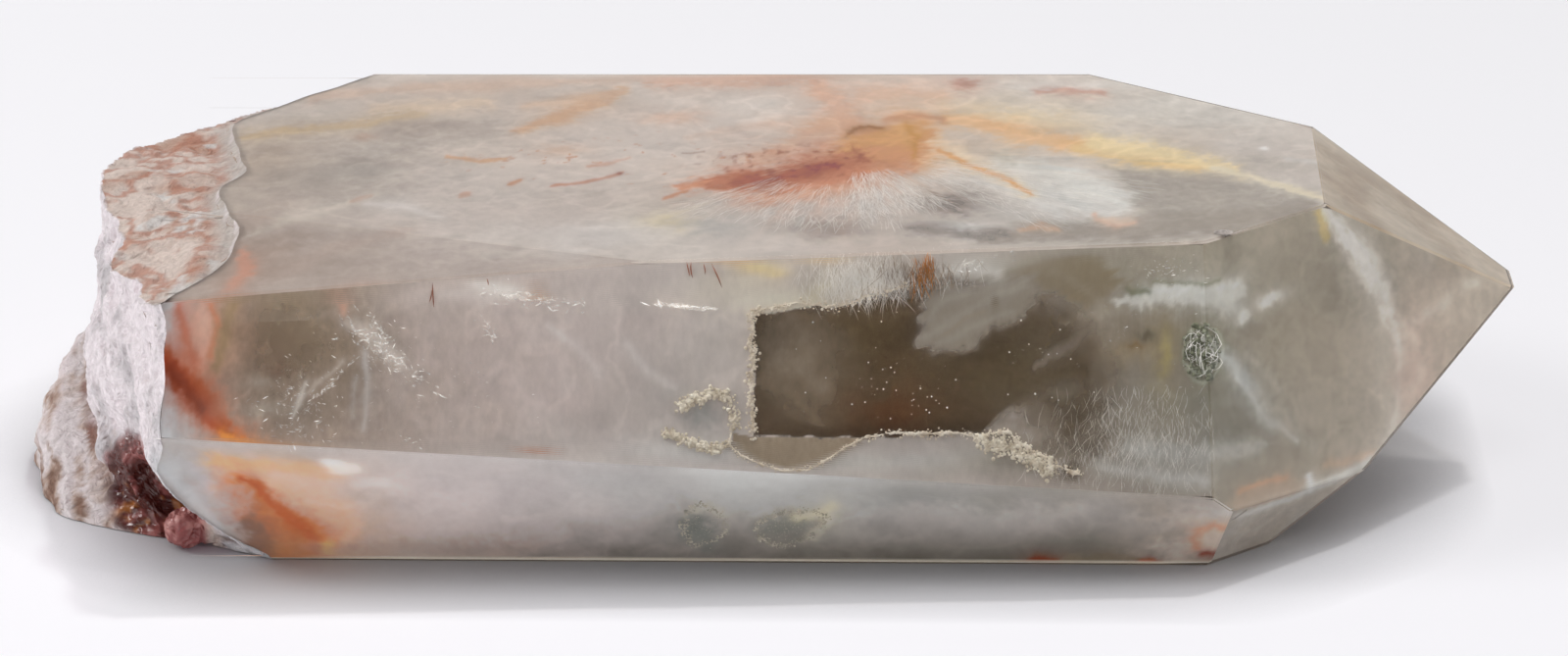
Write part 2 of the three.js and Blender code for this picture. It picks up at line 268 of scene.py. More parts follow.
def crust_colours(points, ways, rim_distance):
    """The broken end's colour, and how glossy it is, for each point."""
    patchy = cloud(points, 2.4, 61)
    fine = cloud(points, 0.7, 71, 4)
    broad = cloud(points, 4.5, 77, 3)
    crust = mix(srgb(243, 236, 239), srgb(208, 204, 206), smooth(patchy, -0.1, 0.5))
    # Painted shade: the crust turns bluish grey low down near its rim.
    low_rim_shade = smooth(rim_distance, 2.4, 0.2) * smooth(points[:, 2], 13.0, 8.0)
    crust = mix(crust, srgb(196, 200, 202), low_rim_shade * 0.7)
    by_crease = smooth(fine, 0.22, 0.55) * smooth(behind_crease(points), -6.0, -1.0)
    crust = mix(crust, srgb(168, 140, 124), by_crease * 0.7)
    crust = mix(crust, srgb(116, 92, 80), crust_pits(points) * 0.75)
    along = np.stack([points[:, 0], behind_crease(points), points[:, 2] * 0.3], 1)
    streak = noise(along, [1.0, 0.45, 3.2], 81) + 0.5 * noise(along, [0.6, 0.2, 1.8], 83) + 0.5 * fine
    lump = mix(srgb(229, 221, 221), srgb(190, 168, 154), smooth(streak + 1.4 * broad, -0.5, 0.35))
    lump = mix(lump, srgb(132, 98, 80), smooth(streak + 0.9 * broad, 0.05, 0.6) * 0.85)
    lump = mix(lump, srgb(150, 98, 86), smooth(broad, 0.15, 0.4) * smooth(streak, -0.1, 0.3) * 0.6)
    colour = mix(crust, lump, smooth(behind_crease(points) + 0.8 * patchy, -0.4, 0.9))
    shoulder = mix(srgb(218, 202, 192), srgb(192, 158, 140), smooth(broad + 0.4 * patchy, -0.25, 0.25))
    veins = smooth(1 - 3.2 * np.abs(cloud(points, 2.6, 91, 4)), 0.45, 0.95)
    shoulder = mix(shoulder, srgb(178, 112, 84), veins * 0.65)
    shoulder = mix(shoulder, srgb(222, 222, 220), smooth(patchy + 0.5 * fine, 0.15, 0.5) * 0.8)
    shoulder = mix(shoulder, srgb(144, 106, 90), smooth(fine - 0.3 * patchy, 0.3, 0.6) * 0.5)
    shoulder = mix(shoulder, srgb(192, 186, 180), smooth(rim_distance + 0.6 * patchy, 2.2, 0.4) * 0.85)
    colour = mix(colour, shoulder, on_shoulder(points, ways))
    from_hollow = np.linalg.norm((points - HOLLOW_CENTRE) / HOLLOW_RADII, axis=1)
    hollow = smooth(from_hollow + 0.12 * fine, 1.08, 0.85)
    dark = mix(srgb(84, 38, 32), srgb(156, 94, 90), smooth(cloud(points, 1.6, 97), -0.1, 0.25))
    dark = mix(dark, srgb(176, 112, 58), smooth(fine, 0.1, 0.4) * smooth(points[:, 2], 4.0, 1.5))
    colour = mix(colour, dark, hollow)
    knob = smooth(np.linalg.norm(points - KNOB_CENTRE, axis=1), 2.3, 1.8)
    pink = mix(srgb(150, 84, 82), srgb(196, 140, 134), smooth(cloud(points, 0.9, 99), -0.1, 0.4))
    colour = mix(colour, mix(pink, srgb(214, 200, 190), smooth(points[:, 0], -37.4, -36.6)), knob)
    gloss = np.clip(hollow + knob + 0.3 * on_shoulder(points, ways), 0, 1)
    return colour, gloss


def cut_facets(points):
    """Cuts the small glassy knob into facets.

    Its radius along a way is at most FACET_REACH over the way's dot with any facet's normal."""
    chance = np.random.default_rng(17)
    facets = chance.normal(size=(FACETS, 3))
    facets /= np.linalg.norm(facets, axis=1, keepdims=True)
    out = points - KNOB_CENTRE
    radius = np.linalg.norm(out, axis=1, keepdims=True)
    lean = np.maximum((out / radius) @ facets.T, 0.05)
    limit = (FACET_REACH / lean).min(1, keepdims=True)
    near = smooth(radius, 2.3, 2.0)
    return KNOB_CENTRE + out / radius * (radius + (np.minimum(radius, limit) - radius) * near)


def add_attribute(mesh, name, values):
    """Stores one number, or one colour, for each vertex."""
    if values.ndim == 1:
        layer = mesh.attributes.new(name, "FLOAT", "POINT")
        layer.data.foreach_set("value", values.astype(np.float32))
        return
    layer = mesh.attributes.new(name, "FLOAT_COLOR", "POINT")
    rows = np.concatenate([values, np.ones((len(values), 1))], 1).astype(np.float32)
    layer.data.foreach_set("color", rows.ravel())


inside, rim = broken_parts(crystal_mesh)
points = read(crystal_mesh.vertices, "co", 3) / MM
ways = read(crystal_mesh.vertex_normals, "vector", 3)
rim_distance = np.zeros(len(points))
rim_distance[inside] = nearest(points[inside], points[rim][::3])
points[inside] += ways[inside] * crust_relief(points[inside], ways[inside], rim_distance[inside])[:, None]
points[inside] = cut_facets(points[inside])
points[:, 2] = np.maximum(points[:, 2], 0.0)
crystal_mesh.vertices.foreach_set("co", (points * MM).ravel())
crystal_mesh.update()
tint, gloss = crust_colours(points, ways, rim_distance)
add_attribute(crystal_mesh, "tint", tint)
add_attribute(crystal_mesh, "gloss", gloss)


class Wire:
    """One socket of a node tree. Arithmetic on it adds Math nodes, and add() adds any other node."""

    def __init__(self, tree, socket=None):
        self.tree = tree
        self.socket = socket

    def plug(self, socket, value):
        """Links a wire to a socket, or sets the socket's own value."""
        if isinstance(value, Wire):
            self.tree.links.new(value.socket, socket)
        else:
            socket.default_value = value

    def add(self, kind, settings=None, values=None, output=0):
        """Adds a node: its settings first, then its sockets' values or links."""
        made = self.tree.nodes.new(kind)
        for name, setting in (settings or {}).items():
            setattr(made, name, setting)
        for name, value in (values or {}).items():
            self.plug(made.inputs[name], value)
        return Wire(self.tree, made.outputs[output])

    def math(self, operation, *others, clamp=False):
        """A Math node on this wire and the others."""
        values = dict(enumerate((self,) + others))
        return self.add("ShaderNodeMath", {"operation": operation, "use_clamp": clamp}, values)

    def __add__(self, other):
        return self.math("ADD", other)

    def __mul__(self, other):
        return self.math("MULTIPLY", other)

    def __sub__(self, other):
        return self.math("SUBTRACT", other)

    def __rsub__(self, other):
        return (self * -1.0) + other

    __radd__ = __add__
    __rmul__ = __mul__

    def clamp(self):
        """This wire, held between 0 and 1."""
        return self.math("ADD", 0.0, clamp=True)

    def blend(self, one, other):
        """The first colour where this is 0 and the second where it is 1."""
        settings = {"data_type": "RGBA"}
        return self.add("ShaderNodeMix", settings, {0: self, 6: one, 7: other}, 2)


def material(name):
    """A new material, its starting wire, and its output's sockets."""
    made = bpy.data.materials.new(name)
    made.use_nodes = True
    made.node_tree.nodes.clear()
    output = made.node_tree.nodes.new("ShaderNodeOutputMaterial")
    return made, Wire(made.node_tree), output.inputs


def attribute(wire, name, output=0):
    """One of the mesh's own attributes: its colour, or with output 2 its number."""
    return wire.add("ShaderNodeAttribute", {"attribute_name": name}, output=output)


def place(wire):
    """Object coordinates, which ride with the piece."""
    return wire.add("ShaderNodeTexCoord", output=3)


SMOKE_COLOUR = (0.56, 0.43, 0.27, 1.0)
SMOKE_DENSITY = 26.0
QUARTZ_IOR = 1.544


def clear_quartz():
    """Polished smoky quartz: clear, with quartz's index and brown absorption inside, and lamps shine in."""
    made, wire, out = material("clear_quartz")
    glass = wire.add("ShaderNodeBsdfPrincipled", None, {
        "Base Color": (1, 1, 1, 1), "Roughness": 0.0, "IOR": QUARTZ_IOR, "Transmission Weight": 1.0})
    shadow = wire.add("ShaderNodeLightPath", output=1)
    through = wire.add("ShaderNodeBsdfTransparent", None, {"Color": (0.93, 0.92, 0.9, 1)})
    wire.plug(out["Surface"], wire.add("ShaderNodeMixShader", None, {0: shadow, 1: glass, 2: through}))
    wire.plug(out["Volume"], wire.add("ShaderNodeVolumeAbsorption", None, {
        "Color": SMOKE_COLOUR, "Density": SMOKE_DENSITY}))
    return made


def crust():
    """The dry broken end: the painted stain, broken up by fine grain and swirling folds, with painted shade
    darkening the troughs between the folds.

    It is glossier where it is glassy."""
    made, wire, out = material("broken_end")
    where = place(wire)
    tint = attribute(wire, "tint")
    glossy = attribute(wire, "gloss", 2)
    grain = wire.add("ShaderNodeTexNoise", None, {
        "Vector": where, "Scale": 2600.0, "Detail": 4.0, "Roughness": 0.6})
    swirl = wire.add("ShaderNodeTexNoise", None, {
        "Vector": where, "Scale": 900.0, "Detail": 3.0, "Roughness": 0.55, "Distortion": 1.6})
    fold = 1.0 - ((swirl - 0.5) * 5.0).math("ABSOLUTE").clamp()
    # Painted shade: darkest in the troughs between the folds, broken up by the fine grain.
    darker = (grain * 1.6 - 0.3).clamp() * (0.45 + fold * 0.55)
    shade = wire.add("ShaderNodeMix", {"data_type": "RGBA", "blend_type": "MULTIPLY"}, {
        0: 0.45, 6: tint, 7: darker.blend((0.42, 0.36, 0.34, 1), (1.25, 1.23, 1.23, 1))}, 2)
    height = (grain * 0.5 + fold) * (1.0 - glossy * 0.8)
    bump = wire.add("ShaderNodeBump", None, {"Strength": 0.7, "Distance": 0.00016, "Height": height})
    body = wire.add("ShaderNodeBsdfPrincipled", None, {
        "Base Color": shade, "Roughness": 0.85 - glossy * 0.65, "Specular IOR Level": 0.5, "Normal": bump})
    shadow = wire.add("ShaderNodeLightPath", output=1)
    through = wire.add("ShaderNodeBsdfTransparent", None, {"Color": (0.62, 0.5, 0.56, 1)})
    wire.plug(out["Surface"], wire.add("ShaderNodeMixShader", None, {0: shadow, 1: body, 2: through}))
    return made


def make_piece(name, mesh, materials):
    """Puts a finished mesh into the scene as a piece that rides with the crystal."""
    piece = bpy.data.objects.new(name, mesh)
    bpy.context.scene.collection.objects.link(piece)
    for each in materials:
        mesh.materials.append(each)
    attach(piece, "root")
    return piece


crystal = make_piece("crystal", crystal_mesh, [clear_quartz(), crust()])
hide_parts("quartz_crystal")

# The phantom veils. The finest amphibole fibres, and the iron rust on them, settled
# on the crystal's faces while it grew, so they lie just under today's faces. Each is
# a grid in its face's plane, painted with noise and with marks seen in the photograph.
SLANT = 0.35  # places on the top are kept about as they are seen: X, and Y times this
LEFT_END = -40.0
LEFT_MARGIN = 0.04
EDGE_GAP = 0.1
OUTLINE_FACES = (
    "upper_back", "lower_back", "rest", "tip_upper_back", "tip_lower_back", "tip_rest", "tip_lower_front")
NARROWEST = 0.05
FAR = 60.0  # further than the crystal reaches from the origin
ROW_TRIALS = 2401
OPEN_ROW = 0.5
RAY_START = 20.0
LEFTMOST = -47.5
MARK_BORDER = 2.2
OUTLINE_BORDER = 4.5
OUTLINE_SIZE = 0.5


def row_span(limits, v):
    """Where a row at height v enters and leaves the crystal: its planes' tightest limits a u + b v <= c."""
    low, high = np.full(len(v), -FAR), np.full(len(v), FAR)
    for a, b, c in limits:
        if abs(a) < 1e-6:
            outside = b * v > c
            low[outside], high[outside] = 0.0, 0.0
            continue
        bound = (c - b * v) / a
        if a > 0:
            high = np.minimum(high, bound)
        else:
            low = np.maximum(low, bound)
    return low, high


def rough_limit(base, along, up, v, start):
    """How far left a row may run before it meets the broken end, found by a ray through the solid."""
    start = min(start - OPEN_ROW, RAY_START)
    origin = Vector((base + along * start + up * v) * MM)
    hit = solid_tree.ray_cast(origin, Vector(-along))
    if hit[0] is None:
        return start
    return max(start - hit[3] / MM + LEFT_MARGIN, LEFTMOST)


def veil_grid(face, depth, spacing, inset):
    """Points on a face's plane moved in by depth, row by row; its normal; each point's room to the sides.

    They stay inside each neighbour's plane by the inset, but come close to the outline's own planes."""
    normal, offset = planes[face]
    along = np.array([1.0, 0, 0]) - normal[0] * normal
    along /= np.linalg.norm(along)
    up = np.cross(normal, along)
    base = normal * (offset - depth)
    near_edge = EDGE_GAP if face not in OUTLINE_FACES else inset
    others = [(n, d - (near_edge if name in OUTLINE_FACES else inset))
              for name, (n, d) in planes.items() if name != face]
    limits = [(n @ along, n @ up, d - n @ base) for n, d in others]
    reach = np.linspace(-FAR, FAR, ROW_TRIALS)
    low, high = row_span(limits, reach)
    open_rows = reach[high - np.maximum(low, LEFT_END) > OPEN_ROW]
    v = np.linspace(open_rows[0], open_rows[-1], max(2, int(np.ptp(open_rows) / spacing[1])) + 1)
    low, high = row_span(limits, v)
    low = np.maximum(low, [rough_limit(base, along, up, row, end) for row, end in zip(v, high)])
    low = np.minimum(low, high - NARROWEST)
    share = np.linspace(0, 1, max(2, int((high - low).max() / spacing[0])) + 1)
    u = low[:, None] + (high - low)[:, None] * share
    grid = base + u[..., None] * along + np.broadcast_to(v[:, None], u.shape)[..., None] * up
    room = np.min([d - grid.reshape(-1, 3) @ n for n, d in others], axis=0)
    return grid, normal, room


def new_mesh(name, points, faces, rounded=True):
    """A mesh of points given in millimetres, and faces given as lists of the points' numbers."""
    mesh = bpy.data.meshes.new(name)
    mesh.from_pydata((points * MM).tolist(), [], faces)
    mesh.polygons.foreach_set("use_smooth", np.full(len(faces), rounded))
    mesh.update()
    return mesh


def grid_mesh(name, grid):
    """A mesh of quads over a grid of points, rows by columns."""
    rows, columns = grid.shape[:2]
    index = np.arange(rows * columns).reshape(rows, columns)
    quads = np.stack([index[:-1, :-1], index[:-1, 1:], index[1:, 1:], index[1:, :-1]], -1)
    return new_mesh(name, grid.reshape(-1, 3), quads.reshape(-1, 4).tolist())


def outline_depth(p, corners):
    """How far a point is inside a closed outline: its distance to the nearest side, negative outside."""
    corners = np.array(corners, float)
    best = np.full(len(p), np.inf)
    inside = np.zeros(len(p), bool)
    for a, b in zip(corners, np.roll(corners, -1, 0)):
        s = np.clip(((p - a) @ (b - a)) / ((b - a) @ (b - a)), 0, 1)
        best = np.minimum(best, np.linalg.norm(p - a - s[:, None] * (b - a), axis=1))
        crossing = (a[1] > p[:, 1]) != (b[1] > p[:, 1])
        rise = b[1] - a[1] if b[1] != a[1] else 1.0
        inside ^= crossing & (p[:, 0] < a[0] + (p[:, 1] - a[1]) / rise * (b[0] - a[0]))
    return np.where(inside, best, -best)


def line_reach(p, path):
    """Distance to the nearest stretch of a bent line, over the line's half-width there."""
    best = np.full(len(p), np.inf)
    for (ax, ay, aw), (bx, by, bw) in zip(path[:-1], path[1:]):
        a, b = np.array([ax, ay]), np.array([bx, by])
        s = np.clip(((p - a) @ (b - a)) / ((b - a) @ (b - a)), 0, 1)
        gap = np.linalg.norm(p - a - s[:, None] * (b - a), axis=1) / (aw + s * (bw - aw))
        best = np.minimum(best, gap)
    return best


def mark_mask(p, shape, soft):
    """1 within a mark and 0 outside, with half at its outline and a border as wide as soft says.

    A mark is an ellipse (x, y, radii), a line of (x, y, half-width)s or an outline of (x, y)s."""
    if isinstance(shape, tuple):
        reach = np.hypot((p[:, 0] - shape[0]) / shape[2], (p[:, 1] - shape[1]) / shape[3])
        return 1 / (1 + reach ** (MARK_BORDER / soft))
    if len(shape[0]) == 3:
        return 1 / (1 + line_reach(p, shape) ** (MARK_BORDER / soft))
    return 1 / (1 + np.exp(-OUTLINE_BORDER * np.clip(outline_depth(p, shape) / soft, -9, 9)))


def mark_size(shape):
    """About how wide a mark is, in mm."""
    if isinstance(shape, tuple):
        return min(shape[2], shape[3])
    if len(shape[0]) == 3:
        return float(np.mean([width for x, y, width in shape]))
    return OUTLINE_SIZE


def lay_marks(points, p, tint, haze, marks, fray, feather, seed):
    """Lays marks in turn: each replaces the colour and the haze as far as its mask and strength say.

    Outlines wander by broad and fine noise and by the feather; fray breaks them up."""
    wander = np.stack([cloud(points, 4.5, seed + 11, 3), cloud(points, 4.5, seed + 23, 3)], 1)
    curl = np.stack([cloud(points, 1.2, seed + 31, 4), cloud(points, 1.2, seed + 43, 4)], 1)
    rough = np.stack([cloud(points, 0.4, seed + 51, 3), cloud(points, 0.4, seed + 53, 3)], 1)
    for shape, colour, strength, thickness, soft in marks:
        size = mark_size(shape)
        bent = p + wander * min(1.8, 0.9 * size) + curl * min(0.8, 0.08 + 0.5 * size)
        bent = bent + feather * min(1.0, size)
        bent = bent + rough * min(0.5, 0.6 * size)
        mask = mark_mask(bent, shape, soft) * strength
        mask = np.clip(mask * (1 + 1.2 * fray * (1.05 - mask)), 0, 1)
        tint = mix(tint, srgb(*colour), mask)
        haze = mix(haze, thickness, mask)
    return tint, haze


PHOTO_WIDTH, PHOTO_HEIGHT = 1600, 669
CAMERA_TARGET = Vector((0.811, -5.711, 10.0))
CAMERA_DISTANCE = 480.0
CAMERA_ELEVATION = math.radians(20.5)
LENS = 164.2
SENSOR = 36.0
RIGHTWARD = np.array([1.0, 0, 0])
FORWARD = np.array([0, math.cos(CAMERA_ELEVATION), -math.sin(CAMERA_ELEVATION)])
UPWARD = np.array([0, math.sin(CAMERA_ELEVATION), math.cos(CAMERA_ELEVATION)])
EYE = np.array(CAMERA_TARGET) - FORWARD * CAMERA_DISTANCE
FOCAL_PIXELS = LENS / SENSOR * PHOTO_WIDTH
MARK_DEPTH = 0.5
PIXELS_PER_MM = {  # across a face and up it, where the marks are
    "top": (15.2, 15.2), "upper_front": (15.8, 17.9), "lower_front": (16.0, 11.5),
    "tip_upper_front": (15.5, 15.5),
}


def on_face(face, u, v):
    """Where the camera's line of sight through a pixel of the photograph meets a face's plane, moved in.

    Given as X and Y times SLANT on the top, and as X and Z on the other faces."""
    normal, offset = planes[face]
    across, up = (u - PHOTO_WIDTH / 2) / FOCAL_PIXELS, (PHOTO_HEIGHT / 2 - v) / FOCAL_PIXELS
    way = FORWARD + RIGHTWARD * across + UPWARD * up
    x, y, z = EYE + way * (offset - MARK_DEPTH - EYE @ normal) / (way @ normal)
    return (x, y * SLANT) if face == "top" else (x, z)


def carry_shape(face, shape):
    """A mark's shape on its face, in millimetres: places are carried there, radii and half-widths scaled."""
    across, up = PIXELS_PER_MM[face]
    if isinstance(shape, tuple):
        u, v, wide, high = shape
        return (*on_face(face, u, v), wide / across, high / up)
    return [(*on_face(face, u, v), *(width / up for width in half_width)) for u, v, *half_width in shape]


def carry_marks(face, rows):
    """Marks noted in the photograph's pixels, carried to their face.

    A row is a shape, its colour, its strength, its haze, and how soft its border is."""
    return [(carry_shape(face, shape), *look) for shape, *look in rows]


def ring_line(u, v, across, up):
    """A closed line around an oval, whose half-width swells and thins three times on the way."""
    turn = np.radians(np.arange(0, 361, 30))
    half_width = 1.7 + 0.8 * np.sin(3 * turn + u)
    return np.column_stack([u + across * np.cos(turn), v + up * np.sin(turn), half_width]).tolist()


TOP_MARKS = carry_marks("top", [
    # glassy grey and pinkish places towards the broken end
    ((330, 185, 110, 40), (170, 160, 152), 0.95, 0.55, 0.7),
    ((470, 150, 80, 22), (176, 165, 156), 0.7, 0.7, 0.8),
    ((540, 200, 60, 14), (184, 176, 170), 0.6, 0.8, 0.9),
    ((380, 236, 90, 10), (184, 175, 168), 0.6, 0.8, 0.9),
    ((250, 262, 52, 42), (168, 146, 133), 0.85, 0.75, 0.7),
    ((262, 165, 48, 26), (180, 161, 144), 0.8, 0.7, 0.8),
    ((350, 268, 50, 26), (172, 156, 146), 0.6, 0.7, 0.8),
    ((440, 138, 60, 16), (175, 161, 150), 0.9, 0.6, 0.6),
    ((225, 215, 26, 30), (186, 172, 160), 0.8, 0.8, 0.8),
    ((375, 183, 42, 9), (170, 164, 156), 0.7, 0.6, 0.7),
    # pale clouds
    ((650, 165, 200, 44), (211, 200, 193), 0.8, 0.88, 0.9),
    ((1080, 108, 90, 20), (217, 206, 192), 0.7, 0.9, 0.9),
    ((520, 225, 130, 24), (200, 188, 181), 0.8, 0.8, 0.8),
    ((775, 120, 46, 20), (220, 212, 205), 0.9, 0.92, 0.7),
    ((640, 245, 90, 14), (212, 206, 203), 0.8, 0.9, 0.7),
    ((960, 90, 80, 12), (219, 198, 186), 0.8, 0.9, 0.7),
    ((1090, 93, 70, 8), (224, 221, 216), 0.9, 0.9, 0.7),
    ((1180, 116, 90, 16), (224, 219, 213), 0.9, 0.8, 0.7),
    ((480, 160, 50, 9), (204, 193, 184), 0.7, 0.85, 0.7),
    # salmon and orange clouds at the back
    ([(320, 104, 5), (400, 96, 6), (520, 92, 6), (640, 88, 6)], (204, 180, 164), 0.8, 0.85, 0.8),
    ([(664, 90, 6), (745, 85, 10), (832, 84, 8)], (206, 172, 154), 0.9, 0.92, 0.7),
    ([(527, 138, 5), (560, 126, 8), (600, 112, 8), (640, 100, 6)], (202, 164, 132), 0.8, 0.85, 0.7),
    ([(535, 113, 4), (620, 104, 5)], (206, 178, 156), 0.6, 0.85, 0.8),
    ([(250, 145, 5), (300, 138, 6), (365, 134, 5), (430, 120, 5)], (196, 172, 138), 0.75, 0.8, 0.8),
    ([(385, 118, 6), (440, 113, 7), (500, 110, 6)], (214, 194, 174), 0.8, 0.85, 0.8),
    ((372, 146, 12, 5), (176, 146, 124), 0.6, 0.8, 0.8),
    ((688, 127, 30, 9), (206, 176, 158), 0.8, 0.88, 0.7),
    ((985, 92, 16, 10), (178, 126, 110), 0.8, 0.9, 0.6),
    ([(1058, 98, 4), (1090, 98, 6), (1128, 101, 4)], (196, 146, 130), 0.8, 0.92, 0.9),
    ([(700, 146, 3), (740, 140, 4), (790, 132, 4)], (206, 180, 164), 0.5, 0.88, 0.8),
    # white fan of fibres in front of the stain and to its right
    ((800, 226, 100, 20), (190, 184, 179), 0.8, 0.8, 0.9),
    ((880, 212, 66, 16), (204, 200, 196), 0.9, 0.9, 0.9),
    ((916, 196, 32, 20), (214, 211, 208), 0.95, 0.95, 0.9),
    ([(925, 190, 11), (965, 186, 12), (1005, 192, 10), (1040, 205, 8), (1080, 222, 6)], (218, 216, 213),
     0.9, 0.96, 0.8),
    ([(1020, 172, 10), (1070, 182, 18), (1112, 196, 18), (1146, 212, 12)], (219, 219, 215),
     0.95, 0.96, 0.8),
    ([(1030, 190, 9), (1085, 208, 11), (1128, 224, 8)], (213, 213, 210), 0.9, 0.95, 0.9),
    ([(1000, 212, 7), (1050, 226, 8), (1100, 240, 8)], (190, 187, 183), 0.8, 0.9, 0.9),
    ((1026, 163, 14, 8), (184, 184, 174), 0.7, 0.9, 0.9),
    # the clear grey places between them
    ([(1128, 170), (1180, 177), (1250, 189), (1335, 206), (1338, 220), (1250, 232), (1180, 234),
     (1158, 214)], (190, 183, 174), 0.9, 0.5, 1.0),
    ([(1000, 240), (1080, 232), (1180, 226), (1340, 212), (1346, 226), (1250, 248), (1100, 254),
     (1000, 254)], (168, 160, 150), 0.9, 0.6, 0.9),
    ((970, 212, 28, 12), (148, 141, 137), 0.95, 0.4, 0.8),
    ([(925, 240, 5), (960, 240, 6), (1000, 243, 5), (1030, 244, 4)], (152, 146, 141), 0.85, 0.4, 0.9),
    ((846, 238, 40, 8), (168, 160, 154), 0.8, 0.5, 0.9),
    ((985, 236, 20, 4), (204, 203, 201), 0.8, 0.9, 0.8),
    ((1240, 130, 56, 14), (212, 208, 203), 0.8, 0.7, 0.9),
    ((1300, 176, 50, 10), (190, 182, 174), 0.7, 0.7, 0.9),
    # orange and yellow around the stain
    ([(836, 92, 14), (852, 112, 18), (862, 132, 16)], (212, 172, 150), 0.85, 0.92, 0.9),
    ([(878, 104, 10), (920, 102, 12), (960, 106, 8)], (217, 184, 164), 0.8, 0.9, 0.8),
    ([(760, 172, 5), (795, 158, 8), (840, 134, 10)], (206, 170, 146), 0.7, 0.92, 0.9),
    ([(915, 124, 7), (945, 126, 5)], (220, 182, 156), 0.7, 0.92, 0.7),
    ((938, 160, 18, 20), (219, 186, 138), 0.9, 0.94, 0.7),
    ((1040, 128, 70, 16), (222, 204, 172), 0.9, 0.93, 0.8),
    ([(966, 130, 8), (1010, 138, 12), (1060, 146, 11), (1112, 152, 8)], (222, 184, 144), 0.85, 0.95, 0.7),
    ((1020, 136, 26, 6), (212, 164, 122), 0.5, 0.95, 0.8),
    ((1098, 150, 20, 6), (214, 170, 124), 0.6, 0.95, 0.8),
    ([(1115, 148, 10), (1170, 160, 11), (1225, 172, 9), (1262, 182, 6)], (225, 206, 166), 0.95, 0.95, 0.6),
    ([(1100, 158, 5), (1160, 168, 5), (1222, 178, 5)], (220, 190, 140), 0.7, 0.95, 0.9),
    ([(1240, 178, 4), (1290, 192, 4), (1352, 209, 4)], (220, 210, 188), 0.95, 0.96, 0.6),
    ([(950, 152, 9), (990, 172, 9), (1050, 203, 6)], (228, 214, 188), 0.7, 0.95, 0.7),
    ([(958, 160, 2.5), (990, 174, 3), (1020, 186, 3), (1052, 203, 2)], (214, 160, 100), 0.9, 0.95, 0.6),
    # the red stain
    ((825, 180, 104, 22), (212, 188, 170), 0.6, 0.92, 0.9),
    ([(700, 198, 8), (740, 192, 13), (790, 190, 19), (840, 182, 26), (890, 170, 27),
     (925, 158, 20)], (199, 144, 116), 0.96, 0.97, 0.8),
    ([(868, 158, 12), (895, 150, 15), (925, 146, 14)], (204, 160, 110), 0.85, 0.96, 0.9),
    ([(724, 193, 6), (754, 188, 12), (796, 184, 16), (840, 178, 15), (880, 168, 10)], (172, 118, 98),
     0.92, 0.97, 0.8),
    ([(752, 192, 5), (776, 188, 8), (806, 183, 9), (850, 174, 6)], (146, 92, 78), 0.8, 0.98, 0.9),
    ([(800, 200, 4), (845, 192, 5), (885, 182, 5)], (190, 130, 104), 0.6, 0.96, 0.9),
    ((884, 140, 16, 6), (176, 134, 108), 0.7, 0.96, 0.9),
    ([(864, 144, 2.6), (872, 138, 2.4), (886, 135, 2.2), (900, 137, 2.2)], (134, 96, 62), 0.7, 0.97, 0.9),
    ([(905, 128, 4), (940, 126, 4), (962, 130, 4)], (190, 140, 110), 0.6, 0.95, 0.9),
    ([(924, 135, 3), (934, 148, 3.4), (932, 166, 3)], (184, 138, 82), 0.6, 0.96, 0.9),
    ([(780, 207, 5), (835, 203, 6), (900, 192, 6)], (208, 172, 152), 0.6, 0.95, 0.9),
    # thin threads and dashes
    ([(563, 197, 1.6), (600, 192, 2), (632, 184, 2)], (186, 136, 114), 0.8, 0.93, 0.6),
    ((633, 183, 5, 3), (140, 90, 80), 0.85, 0.95, 0.5),
    ([(600, 176, 1.6), (625, 172, 2), (642, 166, 1.6)], (198, 152, 130), 0.6, 0.9, 0.7),
    ([(457, 166, 2), (490, 171, 2.4), (517, 168, 1.6)], (202, 162, 128), 0.8, 0.9, 0.6),
    ([(520, 194, 2), (532, 190, 2)], (186, 136, 104), 0.8, 0.9, 0.6),
    ((572, 160, 26, 6), (204, 172, 150), 0.6, 0.88, 0.8),
    ([(360, 211, 2.2), (370, 208, 3), (380, 205, 2)], (158, 104, 72), 0.9, 0.93, 0.5),
    ([(257, 243, 4), (320, 223, 5), (367, 209, 5), (396, 200, 4)], (200, 190, 180), 0.6, 0.85, 0.9),
    ([(377, 213, 4), (410, 215, 5), (447, 227, 4)], (208, 202, 198), 0.7, 0.9, 0.9),
    ([(470, 206, 3), (476, 205, 3)], (186, 140, 112), 0.6, 0.9, 0.5),
    ([(290, 273, 6), (340, 254, 7), (413, 240, 5)], (186, 168, 158), 0.6, 0.8, 0.7),
    ([(496, 265, 5), (520, 263, 4), (552, 260, 4)], (204, 194, 187), 0.8, 0.9, 0.6),
    ([(340, 294, 5), (372, 287, 4)], (206, 160, 140), 0.7, 0.85, 0.6),
    ([(230, 290, 7), (252, 270, 7), (246, 258, 5)], (206, 150, 128), 0.7, 0.85, 0.6),
    ([(677, 209, 1.4), (690, 205, 2.2), (702, 202, 1.4)], (194, 138, 108), 0.85, 0.92, 0.6),
    ([(696, 162, 1.2), (706, 162, 1.6), (719, 160, 1.2)], (158, 138, 128), 0.7, 0.9, 0.6),
    ((684, 234, 22, 9), (208, 194, 160), 0.7, 0.88, 0.9),
    ((732, 238, 28, 10), (182, 178, 175), 0.7, 0.8, 0.7),
    ([(1117, 223, 1.6), (1120, 231, 2.4), (1138, 236, 2.6), (1158, 233, 1.8)], (206, 166, 144),
     0.7, 0.92, 0.8),
    ((1138, 231, 16, 4.5), (220, 196, 178), 0.7, 0.88, 0.6),
    ([(1040, 240, 2), (1062, 236, 3.5), (1080, 240, 2)], (208, 174, 148), 0.7, 0.88, 0.7),
    ([(1325, 132, 4), (1345, 137, 4), (1362, 142, 3)], (164, 148, 143), 0.7, 0.75, 0.6),
    ((1290, 158, 5, 3), (240, 238, 236), 0.9, 0.95, 0.5),
